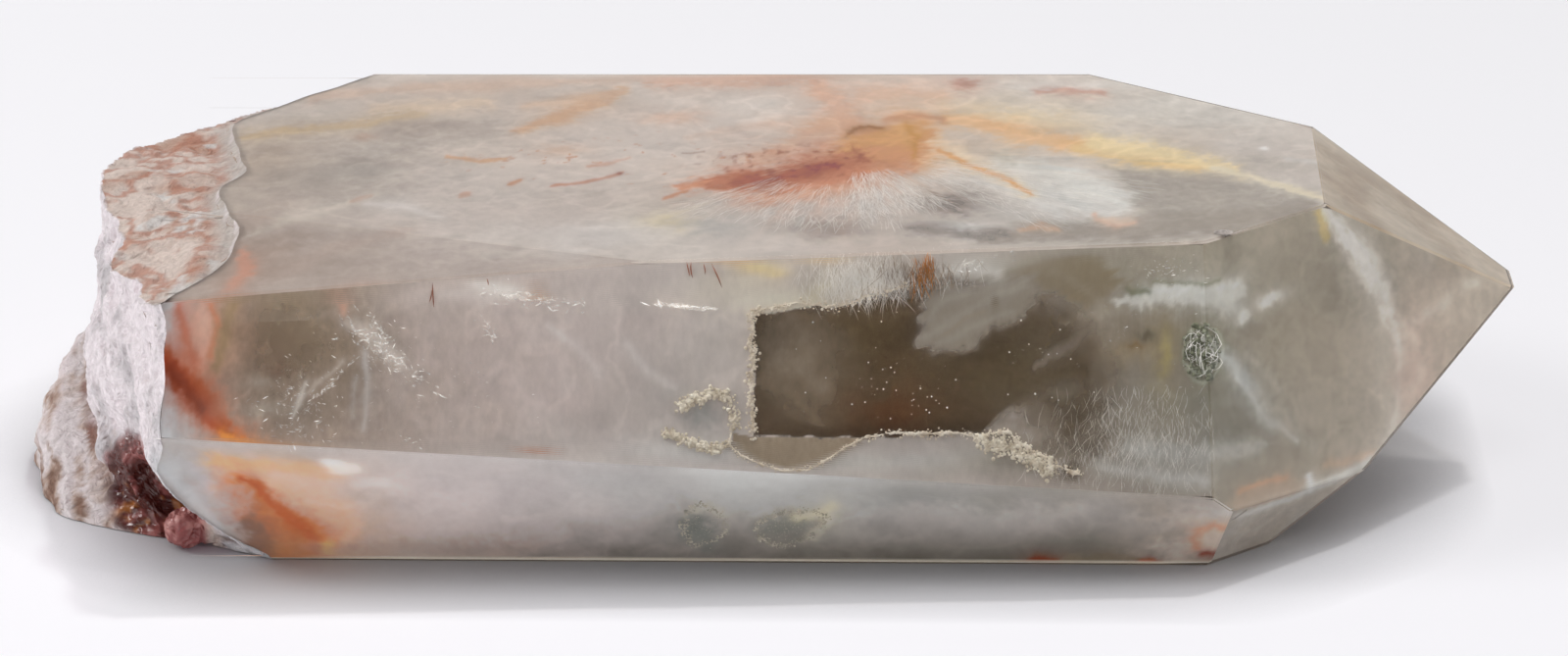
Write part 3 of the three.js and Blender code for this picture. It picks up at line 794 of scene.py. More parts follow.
    ([(1310, 168, 2), (1350, 172, 2.5), (1375, 178, 1.5)], (206, 202, 198), 0.7, 0.8, 0.6),
])
FRONT_MARKS = carry_marks("upper_front", [
    # the milky middle
    ((520, 350, 95, 60), (180, 168, 164), 0.85, 0.95, 0.8),
    ((430, 345, 50, 30), (178, 164, 158), 0.8, 0.85, 0.8),
    ((640, 410, 90, 36), (160, 152, 147), 0.8, 0.93, 0.8),
    ((600, 300, 70, 22), (184, 175, 170), 0.7, 0.95, 0.9),
    ((500, 300, 50, 16), (188, 175, 170), 0.8, 0.95, 0.9),
    ((725, 298, 50, 18), (192, 185, 180), 0.85, 0.96, 0.9),
    ((460, 418, 60, 34), (172, 158, 152), 0.7, 0.85, 0.8),
    ((735, 350, 34, 40), (174, 167, 162), 0.8, 0.95, 0.9),
    ((765, 300, 70, 20), (182, 174, 162), 0.85, 0.95, 0.7),
    ((690, 462, 70, 14), (182, 181, 178), 0.8, 0.96, 0.7),
    ((640, 330, 40, 20), (184, 172, 168), 0.6, 0.93, 0.8),
    ((600, 455, 60, 12), (168, 161, 157), 0.8, 0.95, 0.7),
    ((470, 322, 18, 18), (152, 143, 136), 0.7, 0.85, 0.9),
    ((560, 405, 40, 18), (186, 172, 168), 0.6, 0.93, 0.8),
    # the clear left end, its red band and the pale strip at the crust
    ((470, 350, 90, 70), (181, 168, 163), 0.9, 0.95, 0.9),
    ((310, 360, 64, 66), (150, 134, 118), 0.85, 0.5, 0.9),
    ((290, 350, 50, 54), (134, 118, 97), 0.9, 0.3, 0.9),
    ((280, 355, 34, 42), (124, 108, 88), 0.85, 0.2, 0.9),
    ((262, 404, 40, 36), (126, 110, 94), 0.85, 0.3, 0.9),
    ((345, 408, 36, 30), (150, 134, 121), 0.7, 0.6, 0.9),
    ((300, 296, 50, 20), (150, 134, 112), 0.7, 0.6, 0.9),
    ((350, 444, 60, 12), (156, 140, 128), 0.8, 0.7, 0.9),
    ((205, 330, 34, 46), (186, 144, 124), 0.95, 0.92, 0.7),
    ([(240, 292, 8), (232, 325, 9), (222, 362, 8)], (160, 138, 114), 0.7, 0.7, 0.9),
    ([(178, 292, 9), (180, 335, 10), (184, 366, 9)], (172, 104, 80), 0.85, 0.93, 0.9),
    ([(208, 300, 6), (212, 340, 8), (206, 372, 7)], (196, 156, 140), 0.7, 0.93, 0.9),
    ((166, 330, 10, 60), (194, 195, 196), 0.9, 0.97, 0.8),
    ((190, 436, 30, 32), (164, 166, 166), 0.95, 0.96, 0.8),
    ((168, 430, 12, 60), (192, 196, 199), 0.9, 0.97, 0.8),
    ([(172, 368, 12), (184, 386, 18), (202, 404, 20), (222, 426, 17), (240, 446, 13),
     (256, 460, 10)], (182, 108, 70), 0.92, 0.98, 0.8),
    ([(170, 372, 11), (184, 386, 15), (200, 402, 15), (216, 422, 11), (232, 440, 7),
     (246, 452, 4)], (146, 58, 27), 0.98, 0.98, 0.7),
    ([(176, 300, 3), (188, 332, 5), (198, 366, 6)], (166, 92, 68), 0.75, 0.95, 0.9),
    ([(212, 296, 3), (224, 330, 3.5), (214, 362, 4)], (178, 112, 84), 0.7, 0.95, 0.9),
    ([(198, 388, 9), (214, 402, 8), (226, 424, 7), (240, 444, 7)], (150, 72, 38), 0.75, 0.98, 0.9),
    ([(176, 378, 8), (190, 396, 9), (206, 416, 6)], (104, 37, 18), 0.85, 0.98, 0.9),
    ([(230, 444, 5), (256, 456, 7), (290, 461, 6), (320, 463, 4), (352, 466, 3)], (206, 134, 66),
     0.92, 0.96, 0.7),
    ([(340, 292, 4), (346, 304, 6), (350, 318, 5)], (180, 132, 112), 0.7, 0.88, 0.9),
    ([(352, 328, 5), (380, 345, 9), (412, 370, 5)], (192, 184, 178), 0.6, 0.93, 0.9),
    ([(350, 368, 3), (322, 392, 3), (304, 410, 3)], (176, 164, 154), 0.6, 0.8, 0.9),
    ((268, 390, 18, 8), (172, 163, 151), 0.6, 0.7, 0.9),
    ((270, 416, 26, 8), (176, 166, 154), 0.65, 0.7, 0.9),
    ([(313, 388, 2.4), (306, 408, 3), (299, 424, 2)], (188, 182, 174), 0.8, 0.85, 0.8),
    ([(372, 362, 3), (375, 400, 4), (371, 438, 3)], (170, 168, 168), 0.6, 0.93, 0.9),
    ([(362, 384, 3), (359, 424, 3)], (166, 161, 158), 0.5, 0.9, 0.9),
    ([(238, 298, 7), (230, 340, 8), (222, 372, 6)], (136, 114, 84), 0.65, 0.8, 0.9),
    ((283, 378, 13, 12), (104, 84, 72), 0.8, 0.8, 0.9),
    ([(486, 288, 3), (505, 292, 7), (528, 297, 5)], (220, 214, 206), 0.75, 0.96, 0.8),
    ([(430, 262, 6), (452, 268, 5)], (182, 170, 160), 0.6, 0.9, 0.9),
    # the shallow pool and small marks left of the window
    ((716, 425, 17, 12), (138, 138, 135), 0.8, 0.8, 0.8),
    ((690, 405, 26, 10), (150, 147, 143), 0.4, 0.9, 0.9),
    ((470, 300, 40, 8), (196, 186, 181), 0.6, 0.95, 0.9),
    ([(560, 330, 3), (590, 352, 5), (612, 380, 4)], (192, 184, 180), 0.5, 0.95, 0.9),
    ([(640, 352, 4), (662, 378, 5), (690, 396, 4)], (188, 182, 178), 0.5, 0.95, 0.9),
    ([(538, 456, 1.8), (545, 460, 2), (552, 460, 2), (559, 455, 1.8)], (160, 98, 60), 0.9, 0.96, 0.5),
    ([(544, 300), (548, 280), (562, 301)], (176, 148, 126), 0.85, 0.9, 0.1),
    ([(752, 266, 6), (772, 270, 8), (796, 274, 6)], (206, 184, 130), 0.8, 0.95, 0.9),
    ([(738, 264, 3), (756, 266, 4)], (206, 150, 92), 0.6, 0.95, 0.7),
    ([(836, 265, 3), (846, 264, 4), (852, 264, 3)], (200, 164, 100), 0.8, 0.95, 0.8),
    ([(826, 302, 6), (834, 296, 7), (843, 292, 4)], (204, 190, 140), 0.8, 0.95, 0.9),
    ((806, 302, 46, 12), (196, 190, 176), 0.8, 0.96, 0.6),
    ((868, 284, 30, 17), (186, 180, 170), 0.9, 0.96, 0.6),
    ((925, 300, 40, 9), (176, 168, 158), 0.7, 0.8, 0.7),
    ((940, 466, 110, 10), (172, 170, 166), 0.85, 0.96, 0.8),
    ((1025, 470, 60, 9), (160, 156, 148), 0.8, 0.95, 0.8),
])
RIGHT_MARKS = carry_marks("upper_front", [
    # right of the window, up to and past the tip's edge
    ((1270, 360, 170, 150), (150, 142, 129), 0.95, 0.8, 0.7),
    ((1130, 370, 100, 110), (128, 119, 106), 0.9, 0.75, 0.8),
    ((1150, 274, 90, 20), (150, 144, 128), 0.85, 0.75, 0.9),
    ((1250, 300, 60, 50), (152, 147, 134), 0.85, 0.75, 0.9),
    ((1180, 350, 60, 26), (120, 110, 96), 0.8, 0.7, 0.9),
    ((1100, 420, 44, 44), (106, 97, 86), 0.85, 0.5, 0.9),
    ((1160, 400, 44, 36), (120, 114, 106), 0.85, 0.85, 0.9),
    ((1240, 436, 52, 42), (126, 121, 112), 0.9, 0.88, 0.9),
    ((1258, 440, 22, 18), (100, 99, 90), 0.8, 0.85, 0.9),
    ((1238, 408, 26, 12), (112, 111, 101), 0.7, 0.85, 0.9),
    ([(1140, 306, 5), (1180, 300, 9), (1225, 302, 12), (1266, 308, 11)], (190, 189, 183), 0.95, 0.95, 0.6),
    ([(1175, 296, 4), (1220, 294, 5), (1262, 298, 4)], (204, 204, 200), 0.7, 0.93, 0.9),
    ([(1225, 300, 9), (1250, 316, 10), (1268, 326, 7)], (184, 184, 178), 0.7, 0.9, 0.9),
    ([(1150, 293, 3), (1160, 296, 4), (1172, 296, 3)], (100, 104, 84), 0.8, 0.85, 0.8),
    ([(1176, 287, 2), (1210, 289, 2.4), (1245, 289, 2)], (122, 124, 104), 0.7, 0.8, 0.9),
    ((1189, 362, 8, 20), (156, 142, 92), 0.8, 0.85, 0.9),
    ((1150, 358, 26, 10), (150, 136, 112), 0.6, 0.75, 0.9),
    ((1170, 342, 8, 5), (74, 68, 56), 0.85, 0.9, 0.8),
    ((1157, 352, 8, 4), (106, 86, 58), 0.75, 0.85, 0.8),
    ((1227, 360, 22, 32), (106, 107, 90), 0.9, 0.93, 0.5),
    (ring_line(1227, 360, 20, 29), (156, 158, 142), 0.75, 0.94, 0.6),
    ([(1216, 350, 2), (1230, 344, 2.4), (1240, 356, 2)], (190, 192, 182), 0.8, 0.94, 0.6),
    ([(1212, 372, 2), (1224, 380, 2.4), (1238, 374, 2)], (186, 190, 178), 0.8, 0.94, 0.6),
    ((1226, 362, 8, 8), (84, 86, 66), 0.8, 0.94, 0.6),
    ([(1246, 364, 5), (1262, 384, 9), (1278, 410, 9), (1300, 450, 6)], (178, 181, 178), 0.85, 0.92, 0.8),
    ([(1262, 392, 4), (1290, 436, 4), (1328, 478, 3)], (188, 190, 187), 0.8, 0.9, 0.8),
    ([(1150, 456, 8), (1200, 462, 10), (1250, 464, 9), (1290, 470, 5)], (150, 149, 144), 0.85, 0.93, 0.9),
    ([(1120, 474, 6), (1180, 482, 6), (1230, 488, 6)], (156, 154, 149), 0.85, 0.95, 0.9),
    ([(1080, 330, 4), (1120, 316, 6), (1150, 314, 5)], (150, 142, 128), 0.6, 0.8, 0.9),
])
LOWER_MARKS = carry_marks("lower_front", [
    ((440, 503, 110, 44), (191, 178, 175), 0.9, 0.96, 0.9),
    ((540, 497, 90, 30), (184, 174, 172), 0.8, 0.96, 0.9),
    ((372, 510, 30, 40), (176, 161, 151), 0.8, 0.95, 0.9),
    ((200, 508, 52, 60), (138, 135, 134), 0.97, 0.95, 0.7),
    ((176, 474, 18, 9), (178, 180, 180), 0.8, 0.96, 0.8),
    ([(168, 478, 5), (198, 504, 6), (226, 532, 5)], (172, 175, 177), 0.8, 0.96, 0.9),
    ([(200, 476, 5), (224, 500, 6), (244, 526, 5)], (166, 166, 168), 0.7, 0.96, 0.9),
    ([(228, 466, 7), (262, 470, 10), (300, 474, 10), (345, 480, 8)], (200, 150, 108), 0.92, 0.96, 0.8),
    ([(280, 486, 12), (320, 500, 17), (345, 520, 15), (358, 545, 11)], (206, 176, 154), 0.92, 0.96, 0.8),
    ([(236, 488, 10), (256, 510, 12), (266, 535, 10)], (178, 140, 126), 0.92, 0.96, 0.8),
    ([(262, 505, 9), (282, 528, 15), (294, 550, 21), (298, 572, 25), (298, 590, 25)], (140, 88, 62),
     0.95, 0.98, 0.6),
    ([(256, 528, 9), (264, 550, 13), (272, 574, 13)], (98, 76, 66), 0.9, 0.97, 0.7),
    ([(244, 482, 6), (268, 500, 9), (296, 520, 12), (320, 540, 13), (333, 562, 13),
     (336, 586, 13)], (196, 122, 70), 0.9, 0.98, 0.9),
    ([(248, 485, 4), (268, 499, 6), (290, 517, 8), (308, 535, 9), (322, 556, 9),
     (326, 586, 9)], (158, 76, 40), 0.92, 0.98, 0.9),
    ([(288, 560, 10), (304, 572, 12), (310, 584, 12)], (176, 112, 62), 0.8, 0.98, 0.9),
    ([(334, 552, 5), (342, 566, 7), (348, 580, 7)], (198, 152, 80), 0.9, 0.96, 0.6),
    ([(285, 572, 4), (335, 573, 4)], (152, 98, 46), 0.85, 0.97, 0.8),
    # two painted highlights, pale pink-white
    ((352, 473, 14, 7), (230, 216, 208), 0.9, 0.97, 0.5),
    ((338, 468, 6, 4), (244, 236, 230), 0.9, 0.97, 0.5),
    ((380, 490, 20, 6), (206, 196, 192), 0.7, 0.97, 0.8),
    ((640, 492, 60, 18), (152, 148, 145), 0.8, 0.95, 0.8),
    ((770, 484, 100, 18), (188, 188, 185), 0.9, 0.97, 0.7),
    ((800, 504, 100, 12), (166, 166, 163), 0.7, 0.96, 0.8),
    ((960, 500, 80, 14), (126, 126, 122), 0.8, 0.95, 0.8),
    ((1060, 500, 80, 14), (130, 127, 120), 0.8, 0.95, 0.8),
    ((1190, 505, 60, 20), (120, 113, 103), 0.8, 0.92, 0.8),
    ((380, 560, 70, 12), (156, 138, 124), 0.7, 0.93, 0.7),
    ((500, 560, 60, 10), (142, 128, 119), 0.7, 0.93, 0.7),
    ((717, 532, 20, 20), (104, 106, 101), 0.9, 0.96, 0.6),
    ([(706, 518, 4), (722, 512, 4), (738, 520, 4)], (176, 170, 158), 0.6, 0.95, 0.9),
    ((810, 533, 35, 15), (112, 113, 106), 0.9, 0.96, 0.6),
    ([(826, 546, 4), (842, 530, 5), (846, 518, 4)], (188, 182, 168), 0.6, 0.95, 0.9),
    ([(815, 524, 4), (835, 520, 5), (848, 514, 4)], (196, 188, 160), 0.7, 0.95, 0.9),
    ((1200, 556, 24, 14), (190, 180, 170), 0.8, 0.9, 0.9),
    ((1243, 550, 34, 20), (184, 168, 154), 0.9, 0.93, 0.7),
    ([(1220, 556, 4), (1222, 540, 5), (1238, 534, 5), (1254, 538, 4)], (172, 120, 88), 0.8, 0.95, 0.9),
    ([(1226, 562, 4), (1244, 565, 6), (1262, 562, 4)], (112, 46, 33), 0.92, 0.97, 0.8),
    ([(1160, 570, 2), (1170, 569, 3), (1182, 570, 2)], (120, 60, 44), 0.85, 0.96, 0.9),
    ([(1180, 545, 4), (1205, 540, 5)], (146, 136, 122), 0.5, 0.85, 0.7),
    ([(1046, 570, 2.5), (1058, 568, 5), (1076, 570, 3)], (116, 54, 32), 0.92, 0.96, 0.9),
    ([(1090, 568, 5), (1130, 566, 6), (1160, 568, 4)], (112, 98, 80), 0.5, 0.93, 0.9),
    ([(1166, 569, 2), (1176, 569, 2)], (140, 76, 52), 0.85, 0.93, 0.5),
])
TIP_MARKS = carry_marks("tip_upper_front", [
    ((1330, 300, 60, 90), (164, 157, 143), 0.8, 0.75, 0.9),
    ((1480, 340, 60, 60), (176, 166, 152), 0.8, 0.65, 0.9),
    ((1350, 330, 30, 60), (170, 164, 152), 0.7, 0.75, 0.9),
    ((1260, 340, 30, 40), (164, 160, 150), 0.8, 0.75, 0.8),
    ((1330, 380, 40, 60), (148, 139, 125), 0.8, 0.6, 0.8),
    ((1330, 440, 50, 40), (142, 135, 120), 0.8, 0.65, 0.8),
    ((1395, 400, 22, 60), (160, 152, 142), 0.7, 0.7, 0.8),
    ((1290, 460, 40, 30), (136, 130, 120), 0.7, 0.7, 0.8),
    ((1420, 430, 16, 50), (176, 168, 160), 0.7, 0.75, 0.7),
    ((1480, 330, 60, 50), (174, 163, 150), 0.8, 0.6, 0.8),
    ((1465, 290, 40, 40), (160, 148, 134), 0.6, 0.55, 0.8),
    ([(1354, 212, 7), (1376, 240, 11), (1396, 270, 11), (1409, 300, 9), (1417, 330, 6),
     (1422, 354, 5)], (215, 211, 205), 0.95, 0.97, 0.7),
    ([(1340, 216, 5), (1356, 248, 6), (1374, 284, 6), (1394, 320, 5), (1410, 352, 4)], (148, 143, 131),
     0.6, 0.8, 0.9),
    ([(1423, 352, 5), (1426, 385, 5), (1420, 425, 5), (1410, 455, 6)], (192, 186, 178), 0.8, 0.85, 0.9),
    ((1405, 360, 12, 70), (176, 171, 160), 0.7, 0.8, 0.9),
    ([(1345, 212, 4), (1350, 226, 5), (1354, 238, 4)], (190, 170, 114), 0.8, 0.92, 0.6),
    ((1442, 386, 24, 30), (190, 170, 158), 0.85, 0.8, 0.7),
    ([(1424, 336, 5), (1450, 322, 5), (1475, 304, 5)], (190, 181, 170), 0.7, 0.75, 0.9),
    ((1438, 230, 6, 7), (232, 224, 216), 0.9, 0.9, 0.5),
    ((1500, 288, 11, 6), (206, 198, 186), 0.8, 0.85, 0.7),
    ((1455, 262, 8, 12), (196, 188, 178), 0.6, 0.7, 0.8),
    # painted glints: two small bright white spots
    ((1270, 322, 10, 6), (220, 220, 214), 0.8, 0.9, 0.6),
    ((1295, 304, 14, 5), (226, 226, 222), 0.85, 0.92, 0.6),
    ([(1270, 360, 3), (1290, 378, 4), (1305, 396, 3)], (186, 182, 172), 0.6, 0.8, 0.7),
    ([(1280, 400, 5), (1310, 425, 6), (1340, 455, 5)], (162, 158, 148), 0.6, 0.75, 0.8),
    ([(1350, 474, 4), (1375, 470, 5), (1400, 463, 4)], (178, 150, 126), 0.6, 0.8, 0.9),
    ((1372, 430, 12, 10), (150, 142, 128), 0.5, 0.6, 0.7),
    ([(1252, 512), (1275, 494), (1308, 487), (1334, 492), (1318, 508), (1282, 522)], (158, 140, 124),
     0.85, 0.85, 0.7),
    ([(1262, 500, 3), (1284, 492, 3), (1310, 486, 3)], (182, 140, 112), 0.6, 0.9, 0.9),
    # a painted highlight at the small facet's right end
    ([(1334, 486, 3), (1337, 500, 3)], (214, 216, 216), 0.8, 0.92, 0.7),
    ([(1262, 530, 4), (1320, 508, 4), (1370, 484, 4), (1404, 466, 4)], (184, 184, 180), 0.8, 0.9, 0.9),
    ((1300, 230, 30, 24), (172, 164, 150), 0.7, 0.8, 0.9),
    ((1360, 300, 22, 50), (138, 131, 118), 0.6, 0.6, 0.9),
    ((1300, 350, 30, 40), (140, 134, 120), 0.6, 0.6, 0.9),
    ((1340, 420, 40, 30), (158, 150, 137), 0.6, 0.75, 0.9),
    ((1510, 300, 24, 18), (186, 176, 162), 0.7, 0.7, 0.9),
    ((1450, 250, 26, 18), (180, 172, 160), 0.6, 0.75, 0.9),
    ((1440, 360, 18, 34), (188, 170, 158), 0.8, 0.8, 0.9),
])
# Deep behind the window: partly painted shade, dark brown marks for the window's shadowed depth, over the
# smoky quartz's own brown and rust.
INNER_FRONT_MARKS = carry_marks("upper_front", [
    ((880, 340, 60, 34), (92, 74, 38), 0.8, 0.5, 0.8),
    ((1040, 360, 50, 50), (80, 67, 46), 0.8, 0.5, 0.9),
    ((935, 380, 60, 30), (64, 48, 20), 0.8, 0.5, 0.8),
    ((915, 432, 60, 22), (86, 44, 14), 0.85, 0.6, 0.8),
    ((1020, 390, 60, 36), (77, 65, 40), 0.8, 0.4, 0.8),
    ((822, 374, 42, 50), (124, 111, 94), 0.75, 0.7, 0.6),
    ([(806, 336, 8), (800, 360, 8), (812, 386, 8), (836, 410, 7)], (132, 120, 104), 0.6, 0.75, 0.9),
    ((796, 356, 20, 44), (150, 138, 122), 0.8, 0.6, 0.9),
    ([(800, 402, 3), (815, 424, 4), (832, 440, 3)], (126, 114, 96), 0.4, 0.7, 0.9),
    ([(785, 405, 2), (795, 425, 3), (812, 440, 3), (840, 447, 2)], (120, 108, 92), 0.4, 0.7, 0.9),
    ((1080, 345, 30, 26), (88, 77, 58), 0.8, 0.6, 0.8),
    ((1085, 420, 50, 34), (98, 90, 76), 0.85, 0.7, 0.8),
    ([(1055, 388, 4), (1080, 372, 6), (1108, 352, 7), (1145, 334, 6)], (136, 127, 116), 0.75, 0.75, 0.6),
    ([(1020, 440, 6), (1060, 420, 7), (1100, 410, 6)], (112, 104, 92), 0.6, 0.7, 0.8),
    ((1083, 326, 8, 8), (54, 46, 34), 0.85, 0.75, 0.6),
    ((1105, 292, 50, 30), (132, 121, 104), 0.8, 0.7, 0.8),
    ((287, 382, 16, 18), (92, 72, 62), 0.85, 0.85, 0.7),
    ((310, 420, 14, 12), (146, 122, 110), 0.7, 0.75, 0.7),
    ([(374, 398, 3), (372, 450, 3)], (164, 162, 160), 0.7, 0.85, 0.6),
    ([(384, 370, 4), (380, 392, 3)], (160, 158, 156), 0.7, 0.85, 0.6),
    ([(279, 312, 3), (281, 338, 4)], (176, 172, 160), 0.7, 0.85, 0.6),
    ([(305, 395, 3), (300, 425, 3), (296, 440, 2)], (186, 178, 168), 0.7, 0.85, 0.6),
    ((330, 340, 60, 40), (134, 118, 96), 0.7, 0.7, 0.8),
    ((390, 430, 50, 30), (152, 140, 128), 0.7, 0.8, 0.8),
])
# Guessed marks for the hidden faces, set out as if they were seen on the upper front face.
BACK_MARKS = carry_marks("upper_front", [
    ((250, 360, 60, 60), (196, 158, 130), 0.7, 0.85, 0.9),
    ((330, 430, 70, 40), (206, 198, 192), 0.6, 0.85, 0.9),
    ((520, 340, 120, 60), (204, 196, 190), 0.7, 0.88, 0.9),
    ((600, 450, 90, 30), (160, 148, 134), 0.6, 0.6, 0.9),
    ([(640, 300, 10), (720, 330, 14), (800, 350, 10)], (204, 164, 128), 0.7, 0.9, 0.9),
    ((860, 400, 110, 50), (196, 190, 184), 0.7, 0.88, 0.9),
    ((1000, 330, 80, 40), (150, 138, 122), 0.6, 0.5, 0.9),
    ([(940, 470, 5), (1040, 450, 7), (1120, 430, 5)], (208, 178, 132), 0.7, 0.92, 0.9),
    ((1150, 380, 60, 50), (186, 178, 168), 0.6, 0.8, 0.9),
    ([(420, 470, 4), (470, 440, 5), (540, 430, 4)], (188, 128, 100), 0.7, 0.92, 0.9),
    ((1080, 520, 120, 30), (184, 176, 168), 0.6, 0.8, 0.9),
    ((420, 530, 140, 30), (190, 180, 172), 0.6, 0.85, 0.9),
])
LEAF_MARKS = carry_marks("upper_front", [
    ([(955, 268), (1000, 264), (1112, 262), (1150, 290), (1110, 312), (1066, 300), (1056, 284),
     (1000, 284)], (112, 100, 80), 0.85, 0.97, 0.6),
    ([(1070, 272, 3), (1100, 290, 4), (1130, 312, 4)], (128, 118, 102), 0.6, 0.95, 0.9),
    ([(933, 352), (938, 318), (944, 303), (975, 290), (1030, 280), (1058, 286), (1062, 300), (1046, 318),
     (1008, 332), (985, 350), (950, 360)], (126, 118, 106), 0.96, 0.94, 0.5),
    ([(944, 342, 4), (975, 322, 5), (1012, 300, 5), (1046, 290, 4)], (146, 139, 129), 0.5, 0.95, 0.9),
    ([(952, 352, 3), (985, 334, 4), (1030, 316, 4)], (142, 135, 124), 0.5, 0.95, 0.9),
    ([(946, 328, 3), (958, 308, 3.6), (990, 296, 3.6)], (144, 137, 127), 0.5, 0.95, 0.9),
    ((1014, 306, 1.6, 6), (86, 76, 60), 0.8, 0.96, 0.6),
    ([(962, 340, 1.2), (986, 322, 1.6), (1004, 316, 1.2)], (128, 118, 104), 0.6, 0.97, 0.8),
    ([(965, 272, 7), (990, 270, 9), (1018, 276, 6)], (192, 189, 184), 0.8, 0.97, 0.9),
    ((1020, 268, 24, 7), (170, 166, 158), 0.7, 0.97, 0.9),
])
# The outlines of the clear window and of its shallow bay, as X and Z.
WINDOW = [
    (-1.2, 16.9), (0.2, 17.0), (2.1, 17.2), (4.8, 17.2), (6.2, 17.8), (8.8, 18.3), (10.9, 18.6),
    (13.0, 19.4), (17.0, 19.6), (20.4, 18.6), (22.4, 16.4), (23.2, 13.6), (22.8, 10.6), (21.4, 8.4),
    (19.6, 7.4), (17.3, 8.5), (16.0, 9.2), (15.4, 9.7), (14.4, 9.4), (11.9, 9.8), (9.7, 9.7), (7.1, 9.6),
    (-1.2, 9.8),
]
BAY = [
    (-1.2, 9.85), (-2.5, 10.1), (-2.6, 9.2), (-1.1, 8.4), (0.8, 7.9), (2.7, 8.0), (4.0, 8.6), (5.9, 9.5),
    (6.5, 9.7),
]
FAN_CENTRE = (5.6, 3.1)


def cut_window(points, p, tint, haze):
    """Opens the clear window and its shallow bay: haze falls inside their outlines.

    It falls sharply at the left and softly at the right."""
    ragged = cloud(points, 0.8, 57, 4) * 0.3
    right = smooth(p[:, 0], 12.0, 18.0)
    inward = outline_depth(p, WINDOW) + ragged * (1 + 2 * right) + 1.2 * right * cloud(points, 3.0, 59, 4)
    softness = 0.08 + 2.8 * right * smooth(p[:, 1] + 1.6 * smooth(p[:, 0], 15, 19), 8.8, 10.6)
    opening = smooth(inward, 0.0, softness)
    bay = smooth(outline_depth(p, BAY) + ragged * 0.5, 0.0, 0.08)
    haze = haze * (1 - opening)
    stripes = 0.5 + 0.5 * noise(points, [0.16, 50.0, 2.5], 58)
    tint = mix(tint, srgb(150, 136, 118), bay * (1 - opening))
    haze = mix(haze, 0.5 + 0.2 * stripes, bay * (1 - opening))
    return lay_marks(points, p, tint, haze, LEAF_MARKS, upright_grain(points), leaf_feather(points), 131)


def painted_foot_shade(points, p, tint, haze):
    """Paints shade on the low front face towards its foot, right of the red band, where the shadowed table
    shows in it.
    """
    low = smooth(p[:, 1] + 0.8 * cloud(points, 5.0, 66), 5.8, 0.4) * smooth(p[:, 0], -24.0, -12.0)
    return mix(tint, srgb(84, 79, 69), low * 0.9), haze


def foot_thread(points, p, tint, haze):
    """The thin pale thread of light along the low front face's foot."""
    thread = smooth(p[:, 1], 0.42, 0.2) * smooth(p[:, 0], -31.0, -27.0)
    return mix(tint, srgb(196, 190, 178), thread * 0.8), haze


def fan_rays(points):
    """Streaks along the rays from the fan's middle, where in front of it they show, and each ray's way."""
    dx, dy = points[:, 0] - FAN_CENTRE[0], points[:, 1] - FAN_CENTRE[1]
    radius, angle = np.hypot(dx, dy), np.degrees(np.arctan2(dy, dx))
    streaks = 0.6 * noise(np.column_stack([angle / 2.2, radius / 7.0, angle * 0]), 1.0, 7)
    streaks = streaks + 0.4 * noise(np.column_stack([angle / 0.9, radius / 3.0, angle * 0]), 1.0, 8)
    shown = smooth(radius, 2.0, 6.0) * smooth(radius, 30.0, 18.0)
    shown = shown * smooth(angle, -172, -150) * smooth(angle, 4, -14)
    out = np.column_stack([dx, dy * SLANT]) / np.maximum(radius, 0.1)[:, None]
    return streaks, shown, out


def ray_grain(points):
    """Soft clouds, and in front of the fan's middle streaks along its rays."""
    streaks, shown, out = fan_rays(points)
    return mix(cloud(points, [3.4, 3.4, 3.4], 9, 5) * 0.9, streaks * 1.2, shown * 0.8)


def ray_feather(points):
    """Outlines run in and out along the fan's rays."""
    streaks, shown, out = fan_rays(points)
    return out * (1.6 * streaks * (0.35 + 0.65 * shown))[:, None]


def upright_grain(points):
    """Soft clouds, with faint streaks that run up the face."""
    return 0.12 * noise(points, [0.3, 9.0, 2.6], 17) + 0.9 * cloud(points, 2.2, 18, 5)


def upright_feather(points):
    """Outlines run up and down as thin fibres do, most of all at the right."""
    streaks = noise(points, [0.22, 9.0, 3.0], 27) + 0.5 * noise(points, [0.1, 9.0, 1.6], 28)
    up = streaks * (0.16 + 0.3 * smooth(points[:, 0], 12.0, 20.0) * smooth(points[:, 0], 33.0, 29.0))
    return np.column_stack([up * 0, up])


def cloud_grain(points):
    """Soft clouds alone."""
    return 1.1 * cloud(points, 2.4, 19, 5)


def leaf_feather(points):
    """Outlines fray along a way that rises to the right, as the pale leaf in the window does."""
    along = points[:, 0] * 0.9 + points[:, 2] * 0.43
    across = points[:, 2] * 0.9 - points[:, 0] * 0.43
    streaks = noise(np.column_stack([along / 2.0, across / 0.16, along * 0]), 1.0, 37)
    return np.column_stack([streaks * 0.9, streaks * 0.43]) * 0.7


def wisps(points, seed):
    """Thin paler threads and darker pockets: 1 minus the size of a noise bent by another one."""
    bent = points + 1.4 * np.stack([cloud(points, 3.5, seed + k, 3) for k in (1, 2, 3)], 1)
    threads = smooth(1 - 4.0 * np.abs(cloud(bent, 3.0, seed + 4, 4)), 0.3, 1.0)
    pockets = smooth(cloud(bent, 2.4, seed + 5, 4), 0.1, 0.5)
    return threads - pockets


def no_feather(points):
    """Outlines run in and out by noise alone."""
    return np.zeros((len(points), 2))


